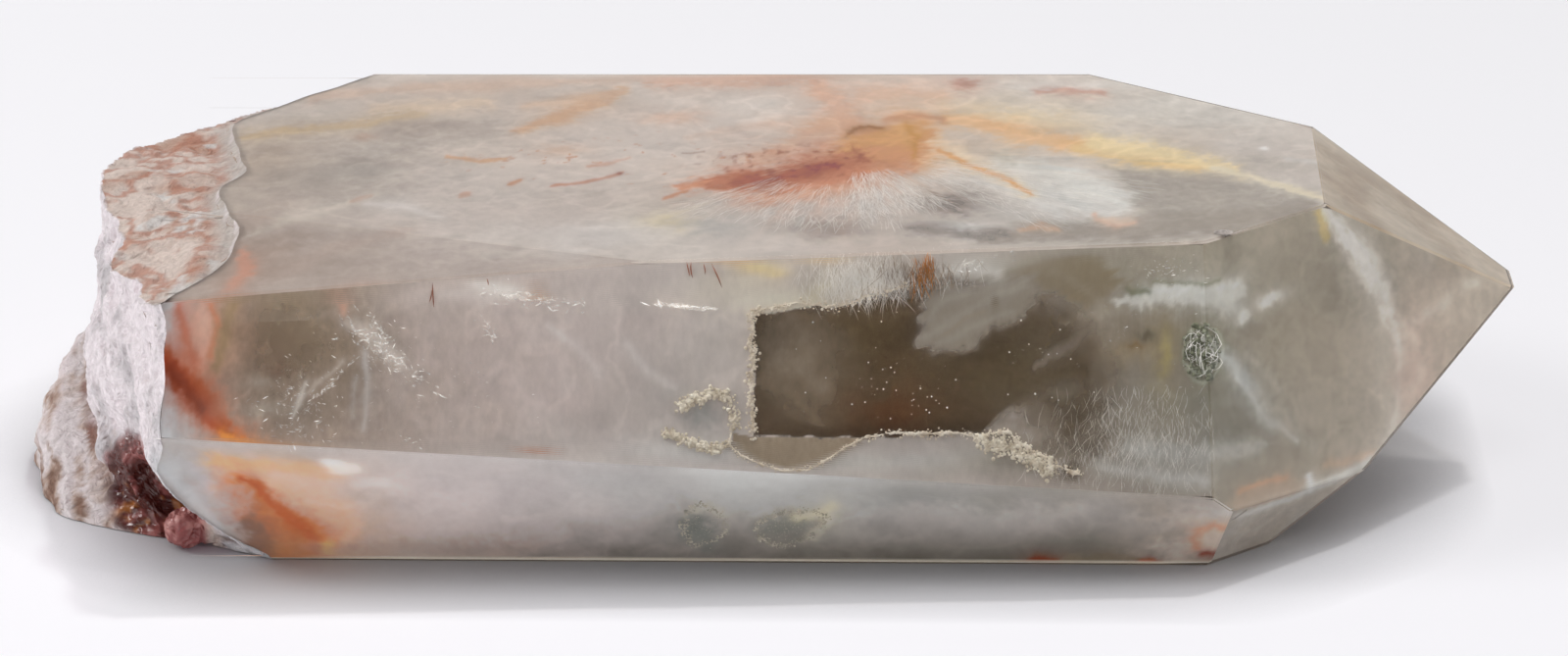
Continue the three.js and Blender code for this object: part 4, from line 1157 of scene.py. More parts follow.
def freckles(points, p, tint, haze):
    """Rust freckles in and around the stain on the top: small peaks of stretched noise."""
    peaks = smooth(noise(points, [0.55, 0.7, 0.7], 27) + 0.4 * noise(points, [0.25, 0.3, 0.3], 28), 0.66, 1.0)
    around = np.hypot((p[:, 0] + 9.0) / 13.0, (p[:, 1] - 0.5) / 2.4)
    tint = mix(tint, srgb(196, 146, 116), peaks * smooth(around, 1.3, 0.3) * 0.8)
    within = np.hypot((p[:, 0] - 1.5) / 7.5, (p[:, 1] - 0.3) / 1.6)
    spots = smooth(cloud(points, [0.5, 0.8, 0.8], 29, 3), 0.12, 0.6)
    return mix(tint, srgb(128, 78, 66), spots * smooth(within, 1.2, 0.5) * 0.55), haze


def plain(points, p, tint, haze):
    """A veil's tint and haze as they are."""
    return tint, haze


def clear_to_tip(points, p, tint, haze):
    """Thins a veil towards the crystal's point."""
    return tint, haze * (1 - 0.6 * smooth(points[:, 0] + 0.45 * (points[:, 2] - 12), 37.0, 43.0))


def veil_material(name, stretch, contrast):
    """Fine pale fibres: the painted tint and haze, broken up by grain finer than the grid.

    Stretch gives the grain a run, and contrast is how far it tints.
    Where light scattered through the fine fibres makes them brighter than any tint can, that brightness is
    painted light, given off as emission."""
    made, wire, out = material(name)
    where = wire.add("ShaderNodeVectorMath", {"operation": "MULTIPLY"}, {0: place(wire), 1: stretch})
    grain = wire.add("ShaderNodeTexNoise", None, {
        "Vector": where, "Scale": 1500.0, "Detail": 6.0, "Roughness": 0.62})
    haze = attribute(wire, "haze", 2)
    alpha = (haze + (grain - 0.5) * 1.2 * haze * (1.0 - haze)).clamp()
    lighter = (grain * 1.6 - 0.3).clamp()
    shade = wire.add("ShaderNodeMix", {"data_type": "RGBA", "blend_type": "MULTIPLY"}, {
        0: contrast, 6: attribute(wire, "tint"),
        7: lighter.blend((0.62, 0.6, 0.58, 1), (1.38, 1.4, 1.42, 1))}, 2)
    body = wire.add("ShaderNodeBsdfPrincipled", None, {
        "Base Color": shade, "Roughness": 1.0, "Specular IOR Level": 0.0, "Alpha": alpha,
        "Emission Color": attribute(wire, "glow"), "Emission Strength": 1.0})
    wire.plug(out["Surface"], body)
    return made


MILKY = veil_material("milky_haze", (1.0, 0.6, 1.0), 0.12)
UPRIGHT = veil_material("upright_haze", (1.5, 1.0, 0.7), 0.14)
PALEST = 0.88
TIP_BROAD = 9  # the tip's first marks are broad ones, and go under those of its neighbour


def make_veil(name, face, spacing, colours, haze, marks=(), finish=MILKY, below=plain, after=plain,
              grain=cloud_grain, feather=no_feather, light=1.0, shine=0.0, seed=1, depth=0.3, inset=0.3):
    """One veil: a face's grid, waved a little, its base colours and haze by broad noise, then its marks.

    Colours are given as the eye sees them, light and shade included; the tint is what is left when the
    face's shine is taken off and the light that reaches the veil is divided out, and the glow is painted
    light, given off for what no tint can give."""
    grid, normal, room = veil_grid(face, depth, spacing, inset)
    points = grid.reshape(-1, 3)
    p = points[:, :2] * [1, SLANT] if marks is TOP_MARKS else points[:, [0, 2]]
    broad = cloud(points, 7.0, seed, 5)
    fray = grain(points)
    tint = mix(np.tile(srgb(*colours[0]), (len(points), 1)), srgb(*colours[1]), smooth(broad, -0.25, 0.35))
    tint, thick = below(points, p, tint, haze[0] + haze[1] * broad)
    tint, thick = lay_marks(points, p, tint, thick, marks, fray, feather(points), seed + 100)
    tint = tint * (1 + 0.09 * np.clip(fray, -1, 1) + 0.1 * wisps(points, seed + 60))[:, None]
    thick = thick + 0.25 * fray * thick * (1 - thick)
    tint, thick = after(points, p, tint, thick)
    wave = (cloud(points, 5.0, seed + 7, 3) * 0.12 * smooth(room, 0.0, 1.5))[:, None] * normal
    mesh = grid_mesh(name, (points + wave).reshape(grid.shape))
    lit = (tint - shine) / light
    add_attribute(mesh, "tint", np.clip(lit, 0.01, PALEST))
    add_attribute(mesh, "glow", np.clip(lit - PALEST, 0, 1) * light)
    add_attribute(mesh, "haze", np.clip(thick, 0, 1))
    return make_piece(name, mesh, [finish])


make_veil("veil_top", "top", (0.14, 0.24), ((212, 203, 196), (192, 180, 171)), (0.88, 0.15), TOP_MARKS,
          after=freckles, grain=ray_grain, feather=ray_feather, light=0.84, shine=0.1, seed=11)
make_veil("veil_top_left", "top_left", (0.16, 0.24), ((194, 181, 174), (184, 170, 162)), (0.85, 0.15),
          TOP_MARKS, after=freckles, grain=ray_grain, feather=ray_feather, light=0.97, shine=0.06, seed=11)
make_veil("veil_upper_front", "upper_front", (0.12, 0.12), ((178, 168, 163), (166, 158, 153)), (0.94, 0.08),
          FRONT_MARKS + RIGHT_MARKS, UPRIGHT, after=cut_window, grain=upright_grain,
          feather=upright_feather, light=0.55, shine=0.006, seed=21)
# A dark sheet deep in the crystal: partly painted shade for the window's dark depth, over the smoky brown.
make_veil("veil_inner_front", "upper_front", (0.18, 0.18), ((98, 84, 62), (80, 64, 44)), (0.35, 0.3),
          INNER_FRONT_MARKS, UPRIGHT, light=0.45, seed=31, depth=2.4, inset=0.6)
make_veil("veil_lower_front", "lower_front", (0.15, 0.15), ((170, 164, 159), (155, 151, 146)), (0.95, 0.06),
          LOWER_MARKS, below=painted_foot_shade, after=foot_thread, light=0.35, shine=0.014, seed=41)
make_veil("veil_tip_front", "tip_upper_front", (0.14, 0.14), ((170, 161, 147), (142, 134, 121)), (0.66, 0.3),
          TIP_MARKS[:TIP_BROAD] + RIGHT_MARKS + TIP_MARKS[TIP_BROAD:], grain=upright_grain, light=0.48,
          shine=0.055, seed=21)
make_veil("veil_tip_top", "tip_top", (0.25, 0.25), ((184, 174, 161), (166, 153, 139)), (0.85, 0.12),
          light=0.57, shine=0.13, seed=61)
make_veil("veil_tip_lower_front", "tip_lower_front", (0.2, 0.2), ((180, 176, 170), (158, 150, 141)),
          (0.62, 0.3), TIP_MARKS, after=clear_to_tip, light=0.4, shine=0.045, seed=71)
make_veil("veil_inner_top", "top", (0.5, 0.5), ((176, 164, 152), (156, 146, 136)), (0.75, 0.3),
          after=clear_to_tip, seed=81, depth=3.0, inset=0.6)
HIDDEN_FACES = ("upper_back", "lower_back", "rest", "tip_upper_back", "tip_lower_back", "tip_rest")
for number, face in enumerate(HIDDEN_FACES):
    hazy = (0.42, 0.3) if face.startswith("tip") else (0.6, 0.35)
    make_veil("veil_" + face, face, (0.4, 0.4), ((200, 188, 178), (170, 157, 145)), hazy, BACK_MARKS,
              after=clear_to_tip, light=0.7, seed=91 + 10 * number)

# The coarser fibres. Amphibole needles just thick enough to be seen one by one: a fan
# in front of the red stain, a fringe over the window, a brush low at the right and a
# few red needles. Each is a thin rod that tapers at both ends and bends a little.
FIBRE_SECTIONS = 4
THINNEST = 0.2
TIPS_DEEPER = 0.02
NEEDLE_DEPTH = 0.18


def rods(name, roots, tips, width, bend, seed):
    """Many tapered three-sided rods, each along root + s (tip - root) + sway 4 s (1 - s), for s from 0 to 1.

    The radius is the width times the square root of 4 s (1 - s), and at least THINNEST times the width."""
    count = len(roots)
    chance = np.random.default_rng(seed)
    s = np.linspace(0, 1, FIBRE_SECTIONS + 1)
    way = tips - roots
    length = np.linalg.norm(way, axis=1, keepdims=True)
    side = np.cross(way, chance.normal(size=(count, 3)))
    side /= np.linalg.norm(side, axis=1, keepdims=True)
    over = np.cross(way, side) / length
    sway = side * length * chance.uniform(-bend, bend, (count, 1))
    line = roots[:, None] + way[:, None] * s[None, :, None] + sway[:, None] * (4 * s * (1 - s))[None, :, None]
    radius = width[:, None] * np.maximum(THINNEST, np.sqrt(4 * s * (1 - s)))[None]
    turn = np.arange(3) * 2 * math.pi / 3
    ring = side[:, None] * np.cos(turn)[None, :, None] + over[:, None] * np.sin(turn)[None, :, None]
    verts = line[:, :, None] + ring[:, None] * radius[:, :, None, None]
    first = (np.arange(count) * (FIBRE_SECTIONS + 1) * 3)[:, None, None]
    step = np.arange(FIBRE_SECTIONS)[None, :, None] * 3
    corner = np.arange(3)[None, None, :]
    after = (corner + 1) % 3
    quads = np.stack([
        first + step + corner, first + step + after, first + step + 3 + after, first + step + 3 + corner], -1)
    ends = first[:, 0] + np.array([[2, 1, 0]])
    caps = first[:, 0] + FIBRE_SECTIONS * 3 + np.array([[0, 1, 2]])
    faces = quads.reshape(-1, 4).tolist() + ends.tolist() + caps.tolist()
    return new_mesh(name, verts.reshape(-1, 3), faces)


def under(face, x, other, depth):
    """Points below a face: X and Y are given on the top, X and Z on the other faces."""
    (nx, ny, nz), offset = planes[face]
    if abs(nz) > abs(ny):
        return np.column_stack([x, other, (offset - depth - nx * x - ny * other) / nz])
    return np.column_stack([x, (offset - depth - nx * x - nz * other) / ny, other])


def fibre_finish(name, colour, roughness=0.45, glow=0.0):
    """Silky fibres of one colour, darker from place to place; glow is painted light for light that they
    gather.
    """
    made, wire, out = material(name)
    grain = wire.add("ShaderNodeTexNoise", None, {"Vector": place(wire), "Scale": 500.0, "Detail": 3.0})
    tone = (grain * 2.0 - 0.5).clamp().blend(tuple(0.7 * c for c in colour) + (1,), tuple(colour) + (1,))
    body = wire.add("ShaderNodeBsdfPrincipled", None, {
        "Base Color": tone, "Roughness": roughness, "Specular IOR Level": 0.3,
        "Emission Color": (1, 0.98, 0.95, 1), "Emission Strength": glow})
    wire.plug(out["Surface"], body)
    return made


def fan(count, angles, radii, lengths, depth, seed):
    """Roots and tips of rods that run out from the fan's centre under the top."""
    chance = np.random.default_rng(seed)
    angle = np.radians(chance.uniform(*angles, count))
    near = chance.uniform(*radii, count)
    far = near + chance.uniform(*lengths, count)
    deep = chance.uniform(*depth, count)
    angle_end = angle + chance.normal(0, 0.035, count)
    x, y = FAN_CENTRE
    roots = under("top", x + near * np.cos(angle), y + near * np.sin(angle), deep)
    tips = under("top", x + far * np.cos(angle_end), y + far * np.sin(angle_end), deep + TIPS_DEEPER)
    return roots, tips


def inside_hull(points, margin=0.05):
    """Which points lie inside every polished plane by a margin."""
    return np.all([points @ n < d - margin for n, d in planes.values()], axis=0)


def keep_inside(roots, tips):
    """The rods whose two ends are both inside the crystal."""
    kept = inside_hull(roots) & inside_hull(tips)
    return roots[kept], tips[kept]


def bundle(name, roots, tips, widths, bend, finish, seed):
    """A piece of rods: those that stay inside the crystal, with widths drawn between two limits."""
    roots, tips = keep_inside(roots, tips)
    width = np.random.default_rng(seed + 1).uniform(*widths, len(roots))
    return make_piece(name, rods(name, roots, tips, width, bend, seed), [finish])


def strands(face, count, x_span, z_span, lengths, lean, depth, seed):
    """Roots and tips of nearly upright rods that hang about a spot on a side face, densest in its middle."""
    chance = np.random.default_rng(seed)
    middle, reach = np.mean([x_span, z_span], axis=1), np.ptp([x_span, z_span], axis=1)
    x = middle[0] + reach[0] * np.clip(chance.normal(0, 0.3, count), -0.7, 0.7)
    z = middle[1] + reach[1] * np.clip(chance.normal(0, 0.35, count), -0.7, 0.7)
    fall = chance.uniform(*lengths, count)
    deep = chance.uniform(*depth, count)
    roots = under(face, x, z, deep)
    aside = fall * (lean + chance.normal(0, 0.4, count))
    tips = under(face, x + aside, z - fall, deep + chance.uniform(0, 0.05, count))
    return roots, tips


WHITE_FIBRE = fibre_finish("white_fibre", (0.95, 0.91, 0.85), 0.45, 0.18)
BROWN_FIBRE = fibre_finish("brown_fibre", (0.42, 0.3, 0.2))
RED_FIBRE = fibre_finish("red_fibre", (0.42, 0.12, 0.05))
ORANGE_FIBRE = fibre_finish("orange_fibre", (0.75, 0.33, 0.1))

for name, count, angles, radii, lengths, seed in (
        ("fan_left", 700, (-135, -78), (7.5, 16), (0.8, 3.2), 5),
        ("fan_middle", 900, (-92, -62), (4.5, 13), (0.8, 2.8), 6),
        ("fan_right", 600, (-56, -20), (6.5, 20), (1.2, 4.0), 7)):
    bundle(name, *fan(count, angles, radii, lengths, (0.08, 0.28), seed), (0.005, 0.013), 0.08,
           WHITE_FIBRE, seed)
for name, count, x_span, z_span, lengths, lean, depth, widths, bend, finish, seed in (
        ("fringe_white", 800, (3.0, 8.6), (18.2, 20.1), (0.4, 1.5), 0.02, (0.1, 0.26),
         (0.006, 0.014), 0.15, WHITE_FIBRE, 8),
        ("fringe_pale", 460, (7.0, 12.6), (18.7, 20.0), (0.4, 1.8), -0.08, (0.1, 1.4),
         (0.006, 0.014), 0.2, WHITE_FIBRE, 9),
        ("fringe_brown", 160, (6.6, 12.6), (18.8, 20.0), (0.5, 1.6), 0.05, (0.1, 0.26),
         (0.01, 0.02), 0.15, BROWN_FIBRE, 10),
        ("fringe_orange", 60, (9.2, 10.6), (18.9, 20.0), (0.5, 1.7), 0.0, (0.08, 0.2),
         (0.015, 0.04), 0.05, ORANGE_FIBRE, 11),
        ("brush", 900, (18.5, 29.0), (6.8, 11.4), (0.3, 1.1), -0.12, (0.1, 0.26),
         (0.004, 0.009), 0.2, WHITE_FIBRE, 12)):
    bundle(name, *strands("upper_front", count, x_span, z_span, lengths, lean, depth, seed), widths, bend,
           finish, seed)


def needles(places):
    """Roots and tips of single needles under the upper front face, each given as x, z at its top and foot."""
    ends = np.array(places, float)
    deep = np.full(len(ends), NEEDLE_DEPTH)
    roots = under("upper_front", ends[:, 0], ends[:, 1], deep)
    return roots, under("upper_front", ends[:, 2], ends[:, 3], deep)


bundle("red_needles", *needles([
    (-21.9, 19.0, -21.8, 17.6), (-21.95, 18.6, -22.1, 17.9), (-5.5, 19.9, -5.3, 19.1),
    (-5.2, 19.9, -5.1, 19.0), (-3.9, 19.8, -3.2, 18.4), (-4.4, 19.8, -4.3, 19.2), (-18.4, 19.2, -18.3, 18.8),
]), (0.03, 0.05), 0.1, RED_FIBRE, 13)

# The crusts on the window's rim. Where the haze stopped, pale clay and fibres
# dried as a crumbly ledge; it edges the window, its bay and a patch at the
# left. The ledges are lumpy ropes, the crumbs are small dented grains.
ROPE_STEP = 0.08
ROPE_SIDES = 7


def walk(path):
    """A bent line's corners, and how far along it each one is."""
    corners = np.array(path, float)
    steps = np.linalg.norm(np.diff(corners, axis=0), axis=1)
    return corners, np.concatenate([[0], np.cumsum(steps)])


def rope(name, face, path, radius, depth, seed, flat=0.6):
    """A lumpy tube along a bent line under a face: its radius is the given one times a noise of place."""
    corners, way_along = walk(path)
    s = np.linspace(0, way_along[-1], max(4, int(way_along[-1] / ROPE_STEP)))
    x, z = np.interp(s, way_along, corners[:, 0]), np.interp(s, way_along, corners[:, 1])
    line = under(face, x, z, np.full(len(s), depth))
    bend = np.stack([cloud(line, 0.9, seed, 3), line[:, 0] * 0, cloud(line, 0.9, seed + 5, 3)], 1)
    line = line + bend * radius * 1.6
    normal = planes[face][0]
    tangent = np.gradient(line, axis=0)
    tangent /= np.linalg.norm(tangent, axis=1, keepdims=True)
    side = np.cross(tangent, normal)
    side /= np.linalg.norm(side, axis=1, keepdims=True)
    over = np.cross(side, tangent)
    turn = np.arange(ROPE_SIDES) * 2 * math.pi / ROPE_SIDES
    ring = side[:, None] * np.cos(turn)[None, :, None] + flat * over[:, None] * np.sin(turn)[None, :, None]
    rough = line[:, None] + ring * radius
    lumps = cloud(rough.reshape(-1, 3), 0.35, seed + 9, 3).reshape(len(s), ROPE_SIDES)
    size = radius * (0.6 + 1.7 * lumps) * smooth(np.minimum(s, s[-1] - s), -0.05, 0.4)[:, None]
    verts = line[:, None] + ring * np.maximum(size, 0.01)[..., None]
    ends = line[[0, -1]]
    rows, columns = len(s), ROPE_SIDES
    index = np.arange(rows * columns).reshape(rows, columns)
    after = np.roll(index, -1, 1)
    quads = np.stack([index[:-1], after[:-1], after[1:], index[1:]], -1).reshape(-1, 4)
    start, stop = rows * columns, rows * columns + 1
    caps = [(start, b, a) for a, b in zip(index[0], after[0])]
    caps += [(stop, a, b) for a, b in zip(index[-1], after[-1])]
    return new_mesh(name, np.concatenate([verts.reshape(-1, 3), ends]), quads.tolist() + caps)


def ball(rows, columns):
    """A unit sphere's points, ring by ring between its poles, and its faces."""
    tilt = np.linspace(0, math.pi, rows + 1)[1:-1]
    turn = np.arange(columns) * 2 * math.pi / columns
    ring = np.stack([
        np.sin(tilt)[:, None] * np.cos(turn), np.sin(tilt)[:, None] * np.sin(turn),
        np.repeat(np.cos(tilt)[:, None], columns, 1)], -1).reshape(-1, 3)
    verts = np.concatenate([[[0, 0, 1.0]], ring, [[0, 0, -1.0]]])
    index = 1 + np.arange((rows - 1) * columns).reshape(rows - 1, columns)
    after = np.roll(index, -1, 1)
    faces = [(0, a, b) for a, b in zip(index[0], after[0])]
    faces += np.stack([index[:-1], index[1:], after[1:], after[:-1]], -1).reshape(-1, 4).tolist()
    faces += [(len(verts) - 1, b, a) for a, b in zip(index[-1], after[-1])]
    return verts, faces


def grains(name, centres, radii, seed, rows=4, columns=6):
    """Many dented balls: a unit ball's points times the grain's radius, moved in or out by noise."""
    verts, faces = ball(rows, columns)
    places = centres[:, None] + verts[None] * radii[:, None, None]
    dent = cloud(places.reshape(-1, 3) + seed, 0.25, seed, 2).reshape(len(centres), len(verts))
    places = centres[:, None] + verts[None] * (radii[:, None] * (1 + 0.7 * dent))[..., None]
    shift = (np.arange(len(centres)) * len(verts)).tolist()
    every = [tuple(corner + first for corner in face) for first in shift for face in faces]
    return new_mesh(name, places.reshape(-1, 3), every)


def along_path(path, count, spread, seed):
    """Places drawn along a bent line and scattered about it."""
    chance = np.random.default_rng(seed)
    corners, way_along = walk(path)
    s = chance.uniform(0, way_along[-1], count)
    x = np.interp(s, way_along, corners[:, 0]) + chance.normal(0, spread, count)
    z = np.interp(s, way_along, corners[:, 1]) + chance.normal(0, spread, count)
    return x, z


def clay(name, pale, dark, glow=0.0):
    """Dry pale clay: two tones mixed by noise, with a fine bump; glow is painted light for light in the
    glass.
    """
    made, wire, out = material(name)
    grain = wire.add("ShaderNodeTexNoise", None, {"Vector": place(wire), "Scale": 1800.0, "Detail": 4.0})
    tone = (grain * 2.2 - 0.6).clamp().blend(tuple(dark) + (1,), tuple(pale) + (1,))
    bump = wire.add("ShaderNodeBump", None, {"Strength": 0.6, "Distance": 0.00008, "Height": grain})
    body = wire.add("ShaderNodeBsdfPrincipled", None, {
        "Base Color": tone, "Roughness": 0.85, "Specular IOR Level": 0.3, "Normal": bump,
        "Emission Color": tone, "Emission Strength": glow})
    wire.plug(out["Surface"], body)
    return made


CREAM_CLAY = clay("cream_clay", srgb(242, 234, 220), srgb(190, 174, 152), 0.14)
YELLOW_CLAY = clay("yellow_clay", srgb(242, 235, 220), srgb(182, 167, 144), 0.14)
RIM_LEFT = [(-1.2, 17.0), (-1.3, 15.7), (-1.2, 14.0), (-1.4, 12.3), (-1.2, 10.9), (-1.3, 9.9)]
RIM_TOP = [(-1.2, 17.0), (0.2, 17.2), (1.8, 17.4), (3.0, 17.3), (4.1, 17.1), (6.2, 17.7), (9.0, 18.3)]
RIM_BAY = [
    (-2.6, 10.4), (-2.7, 9.4), (-2.0, 8.8), (-0.8, 8.3), (0.8, 7.85), (2.4, 7.95), (3.7, 8.5), (4.7, 9.1),
    (5.9, 9.6),
]
RIM_FOOT = [
    (5.9, 9.6), (7.5, 9.9), (9.7, 9.8), (11.9, 9.8), (13.3, 9.6), (14.1, 9.75), (15.4, 9.8), (16.0, 9.2),
    (17.3, 8.5), (18.6, 7.8), (20.1, 7.3),
]
RIM_DEPTH = 0.22
for name, path, radius, seed in (
        ("rim_left", RIM_LEFT, 0.09, 3), ("rim_top", RIM_TOP, 0.08, 4), ("rim_bay", RIM_BAY, 0.08, 5),
        ("rim_foot", RIM_FOOT, 0.11, 6)):
    make_piece(name, rope(name, "upper_front", path, radius, RIM_DEPTH, seed), [CREAM_CLAY])


def crumb_patch(name, path, count, spread, sizes, finish, seed, face="upper_front"):
    """Grains scattered along a line under a front face."""
    x, z = along_path(path, count, spread, seed)
    chance = np.random.default_rng(seed + 50)
    centres = under(face, x, z, chance.uniform(0.15, 0.3, count))
    kept = inside_hull(centres)
    return make_piece(name, grains(name, centres[kept], chance.uniform(*sizes, count)[kept], seed), [finish])


LEFT_HIGH = [(-6.0, 11.6), (-5.0, 12.0), (-3.6, 12.4), (-2.9, 12.2), (-2.5, 11.2), (-2.4, 10.4)]
LEFT_LOW = [(-6.9, 10.2), (-6.0, 9.9), (-5.0, 9.5), (-3.9, 9.2), (-2.9, 9.4)]
SHELF = [(13.6, 9.2), (15.4, 9.0), (16.6, 8.3), (18.2, 7.6)]
for name, path, count, spread, sizes, finish, seed in (
        ("rim", RIM_LEFT, 300, 0.16, (0.03, 0.12), CREAM_CLAY, 21),
        ("top", RIM_TOP, 240, 0.12, (0.03, 0.09), CREAM_CLAY, 22),
        ("bay", RIM_BAY, 260, 0.07, (0.02, 0.06), CREAM_CLAY, 28),
        ("foot", RIM_FOOT, 460, 0.12, (0.02, 0.08), CREAM_CLAY, 23),
        ("left_high", LEFT_HIGH, 300, 0.2, (0.04, 0.15), YELLOW_CLAY, 24),
        ("left_low", LEFT_LOW, 260, 0.15, (0.04, 0.14), YELLOW_CLAY, 25),
        ("shelf", SHELF, 620, 0.26, (0.03, 0.14), YELLOW_CLAY, 26)):
    crumb_patch("crumbs_" + name, path, count, spread, sizes, finish, seed)


def ring_path(x, z, across, up, turned):
    """An oval's outline: the place + across cos a + up sin a, turned by some degrees, wavering a little."""
    a = np.linspace(0, 2 * math.pi, 25)
    wobble = 1 + 0.09 * np.sin(3 * a + x) + 0.06 * np.sin(7 * a + z)
    right, high, t = across * wobble * np.cos(a), up * wobble * np.sin(a), math.radians(turned)
    turned_x = x + right * math.cos(t) - high * math.sin(t)
    return np.column_stack([turned_x, z + right * math.sin(t) + high * math.cos(t)])


GREY_CLAY = clay("grey_clay", srgb(236, 229, 214), srgb(170, 164, 150), 0.12)
OVALS = (("oval_small", (-4.45, 3.25, 1.3, 1.75, 0), 260), ("oval_large", (1.2, 3.15, 2.3, 1.35, 22), 420))
for name, oval, count in OVALS:
    crumb_patch("crumbs_" + name, ring_path(*oval), count, 0.15, (0.03, 0.08), GREY_CLAY, 29, "lower_front")
    half = (oval[0], oval[1], oval[2] * 0.45, oval[3] * 0.45, oval[4])
    crumb_patch("crumbs_in_" + name, ring_path(*half), count // 2, 0.34, (0.015, 0.04), GREY_CLAY, 30,
                "lower_front")

# The green nodule. A round knot of small glassy green grains with white fibres
# curled around it, close behind the front face near the tip.
NODULE = (27.9, 14.2)
NODULE_REACH = (1.3, 1.8)


def nodule_places(count, seed):
    """Places in a ball about the nodule's middle, given as X, Z and the depth under the front face."""
    chance = np.random.default_rng(seed)
    way = chance.normal(size=(count, 3))
    way *= (chance.uniform(0, 1, count) ** 0.4 / np.linalg.norm(way, axis=1))[:, None]
    x, z = NODULE[0] + NODULE_REACH[0] * way[:, 0], NODULE[1] + NODULE_REACH[1] * way[:, 1]
    return x, z, 0.2 + 0.08 * way[:, 2]


GREEN_GLASS = clay("green_glass", srgb(170, 172, 150), srgb(86, 90, 66), 0.05)
for face in ("upper_front", "tip_upper_front"):
    centres = under(face, *nodule_places(150, 61))
    centres = centres[inside_hull(centres)]
    sizes = np.random.default_rng(62).uniform(0.05, 0.17, len(centres))
    name = "nodule_grains_" + face
    make_piece(name, grains(name, centres, sizes, 63, 6, 9), [GREEN_GLASS])
    loop_roots = under(face, *nodule_places(80, 64))
    loop_tips = under(face, *nodule_places(80, 65))
    loop_tips = loop_roots + (loop_tips - loop_roots) * 0.8
    bundle("nodule_loops_" + face, loop_roots, loop_tips, (0.015, 0.035), 0.7, WHITE_FIBRE, 66)

# The bright specks. Tiny cracks and grains deep in the window and in the clear
# left end, as points and feathery flakes; their sparkle is painted light, given off as emission.
GLINT_WHITE = fibre_finish("glint_white", (0.95, 0.94, 0.92), 0.2, 0.45)
MORE_FLAKES = 2.2
FLAKE_TURN = 34


def shards(name, clusters, finish, seed):
    """Thin kite-shaped flakes in clusters.

    A cluster is its place x, z, its reach along and across its way in degrees, how many flakes it has,
    their size, and their depth under the upper front face."""
    chance = np.random.default_rng(seed)
    verts, faces = [], []
    for x, z, rx, rz, way, count, size, deep in clusters:
        count = int(count * MORE_FLAKES)
        spread = np.clip(chance.standard_t(3, (count, 2)), -3, 3) * [0.42 * rx, 0.45 * rz]
        t = math.radians(way)
        place_x = x + spread[:, 0] * math.cos(t) - spread[:, 1] * math.sin(t)
        place_z = z + spread[:, 0] * math.sin(t) + spread[:, 1] * math.cos(t)
        depth = chance.uniform(deep * 0.6, deep * 1.5, count)
        centre = under("upper_front", place_x, place_z, depth)
        heading = np.radians(way + chance.normal(0, FLAKE_TURN, count))
        length = size * np.minimum(1.5, chance.lognormal(-0.8, 0.7, count))
        long_axis = np.column_stack([np.cos(heading), chance.normal(0, 0.15, count), np.sin(heading)])
        cross_axis = np.cross(long_axis, chance.normal(size=(count, 3)))
        cross_axis /= np.linalg.norm(cross_axis, axis=1, keepdims=True)
        kept = inside_hull(centre, 0.06)
        centre, length = centre[kept], length[kept]
        reach = long_axis[kept] * length[:, None]
        width = cross_axis[kept] * (length * chance.uniform(0.06, 0.2, len(length)))[:, None]
        first = sum(len(v) for v in verts)
        kite = np.stack([centre - reach, centre + width, centre + reach, centre - width], 1)
        verts.append(kite.reshape(-1, 3))
        faces += (first + np.arange(len(length) * 4).reshape(-1, 4)).tolist()
    return make_piece(name, new_mesh(name, np.concatenate(verts), faces, rounded=False), [finish])


def glint(name, colour, glow, alpha):
    """A crack or flake that shows in patches and lets light through between them; its glint is painted light,
    given off as emission.
    """
    made, wire, out = material(name)
    patches = wire.add("ShaderNodeTexNoise", None, {"Vector": place(wire), "Scale": 5000.0, "Detail": 2.0})
    body = wire.add("ShaderNodeBsdfPrincipled", None, {
        "Base Color": colour, "Roughness": 0.25, "Alpha": (patches * 4.0 - 1.5).clamp() * alpha,
        "Emission Color": (1, 0.98, 0.95, 1),
        "Emission Strength": glow})
    wire.plug(out["Surface"], body)
    return made


GLINT_FAINT = glint("glint_faint", (0.92, 0.9, 0.87, 1), 0.26, 0.65)
shards("flakes_left", [
    (-31.0, 12.8, 1.8, 0.9, -25, 60, 0.22, 0.18), (-30.9, 10.9, 2.2, 0.9, -14, 70, 0.2, 0.18),
    (-30.6, 12.2, 1.0, 2.2, 70, 16, 0.3, 0.18), (-28.4, 13.4, 3.4, 0.16, 41, 50, 0.3, 0.18),
    (-25.6, 15.6, 2.2, 0.5, -38, 60, 0.42, 0.18), (-24.2, 14.6, 3.2, 0.7, -32, 90, 0.34, 0.18),
    (-25.4, 16.6, 1.6, 0.3, -50, 24, 0.34, 0.18), (-18.2, 16.2, 0.9, 0.5, -50, 26, 0.26, 0.18),
    (-17.4, 18.3, 0.9, 0.15, -30, 12, 0.24, 0.18), (-15.4, 18.0, 2.6, 0.4, -6, 110, 0.3, 0.18),
    (-22.4, 12.6, 3.4, 4.6, -34, 90, 0.13, 0.18), (-23.0, 9.8, 1.8, 0.2, -26, 26, 0.22, 0.18),
    (-19.0, 13.9, 0.7, 0.3, -20, 16, 0.16, 0.18), (-12.0, 14.0, 5.0, 4.0, -20, 50, 0.07, 0.18),
    (-6.0, 17.4, 1.9, 0.1, -4, 70, 0.26, 0.18), (-4.6, 17.2, 0.6, 0.16, -4, 20, 0.24, 0.18),
], GLINT_FAINT, 31)
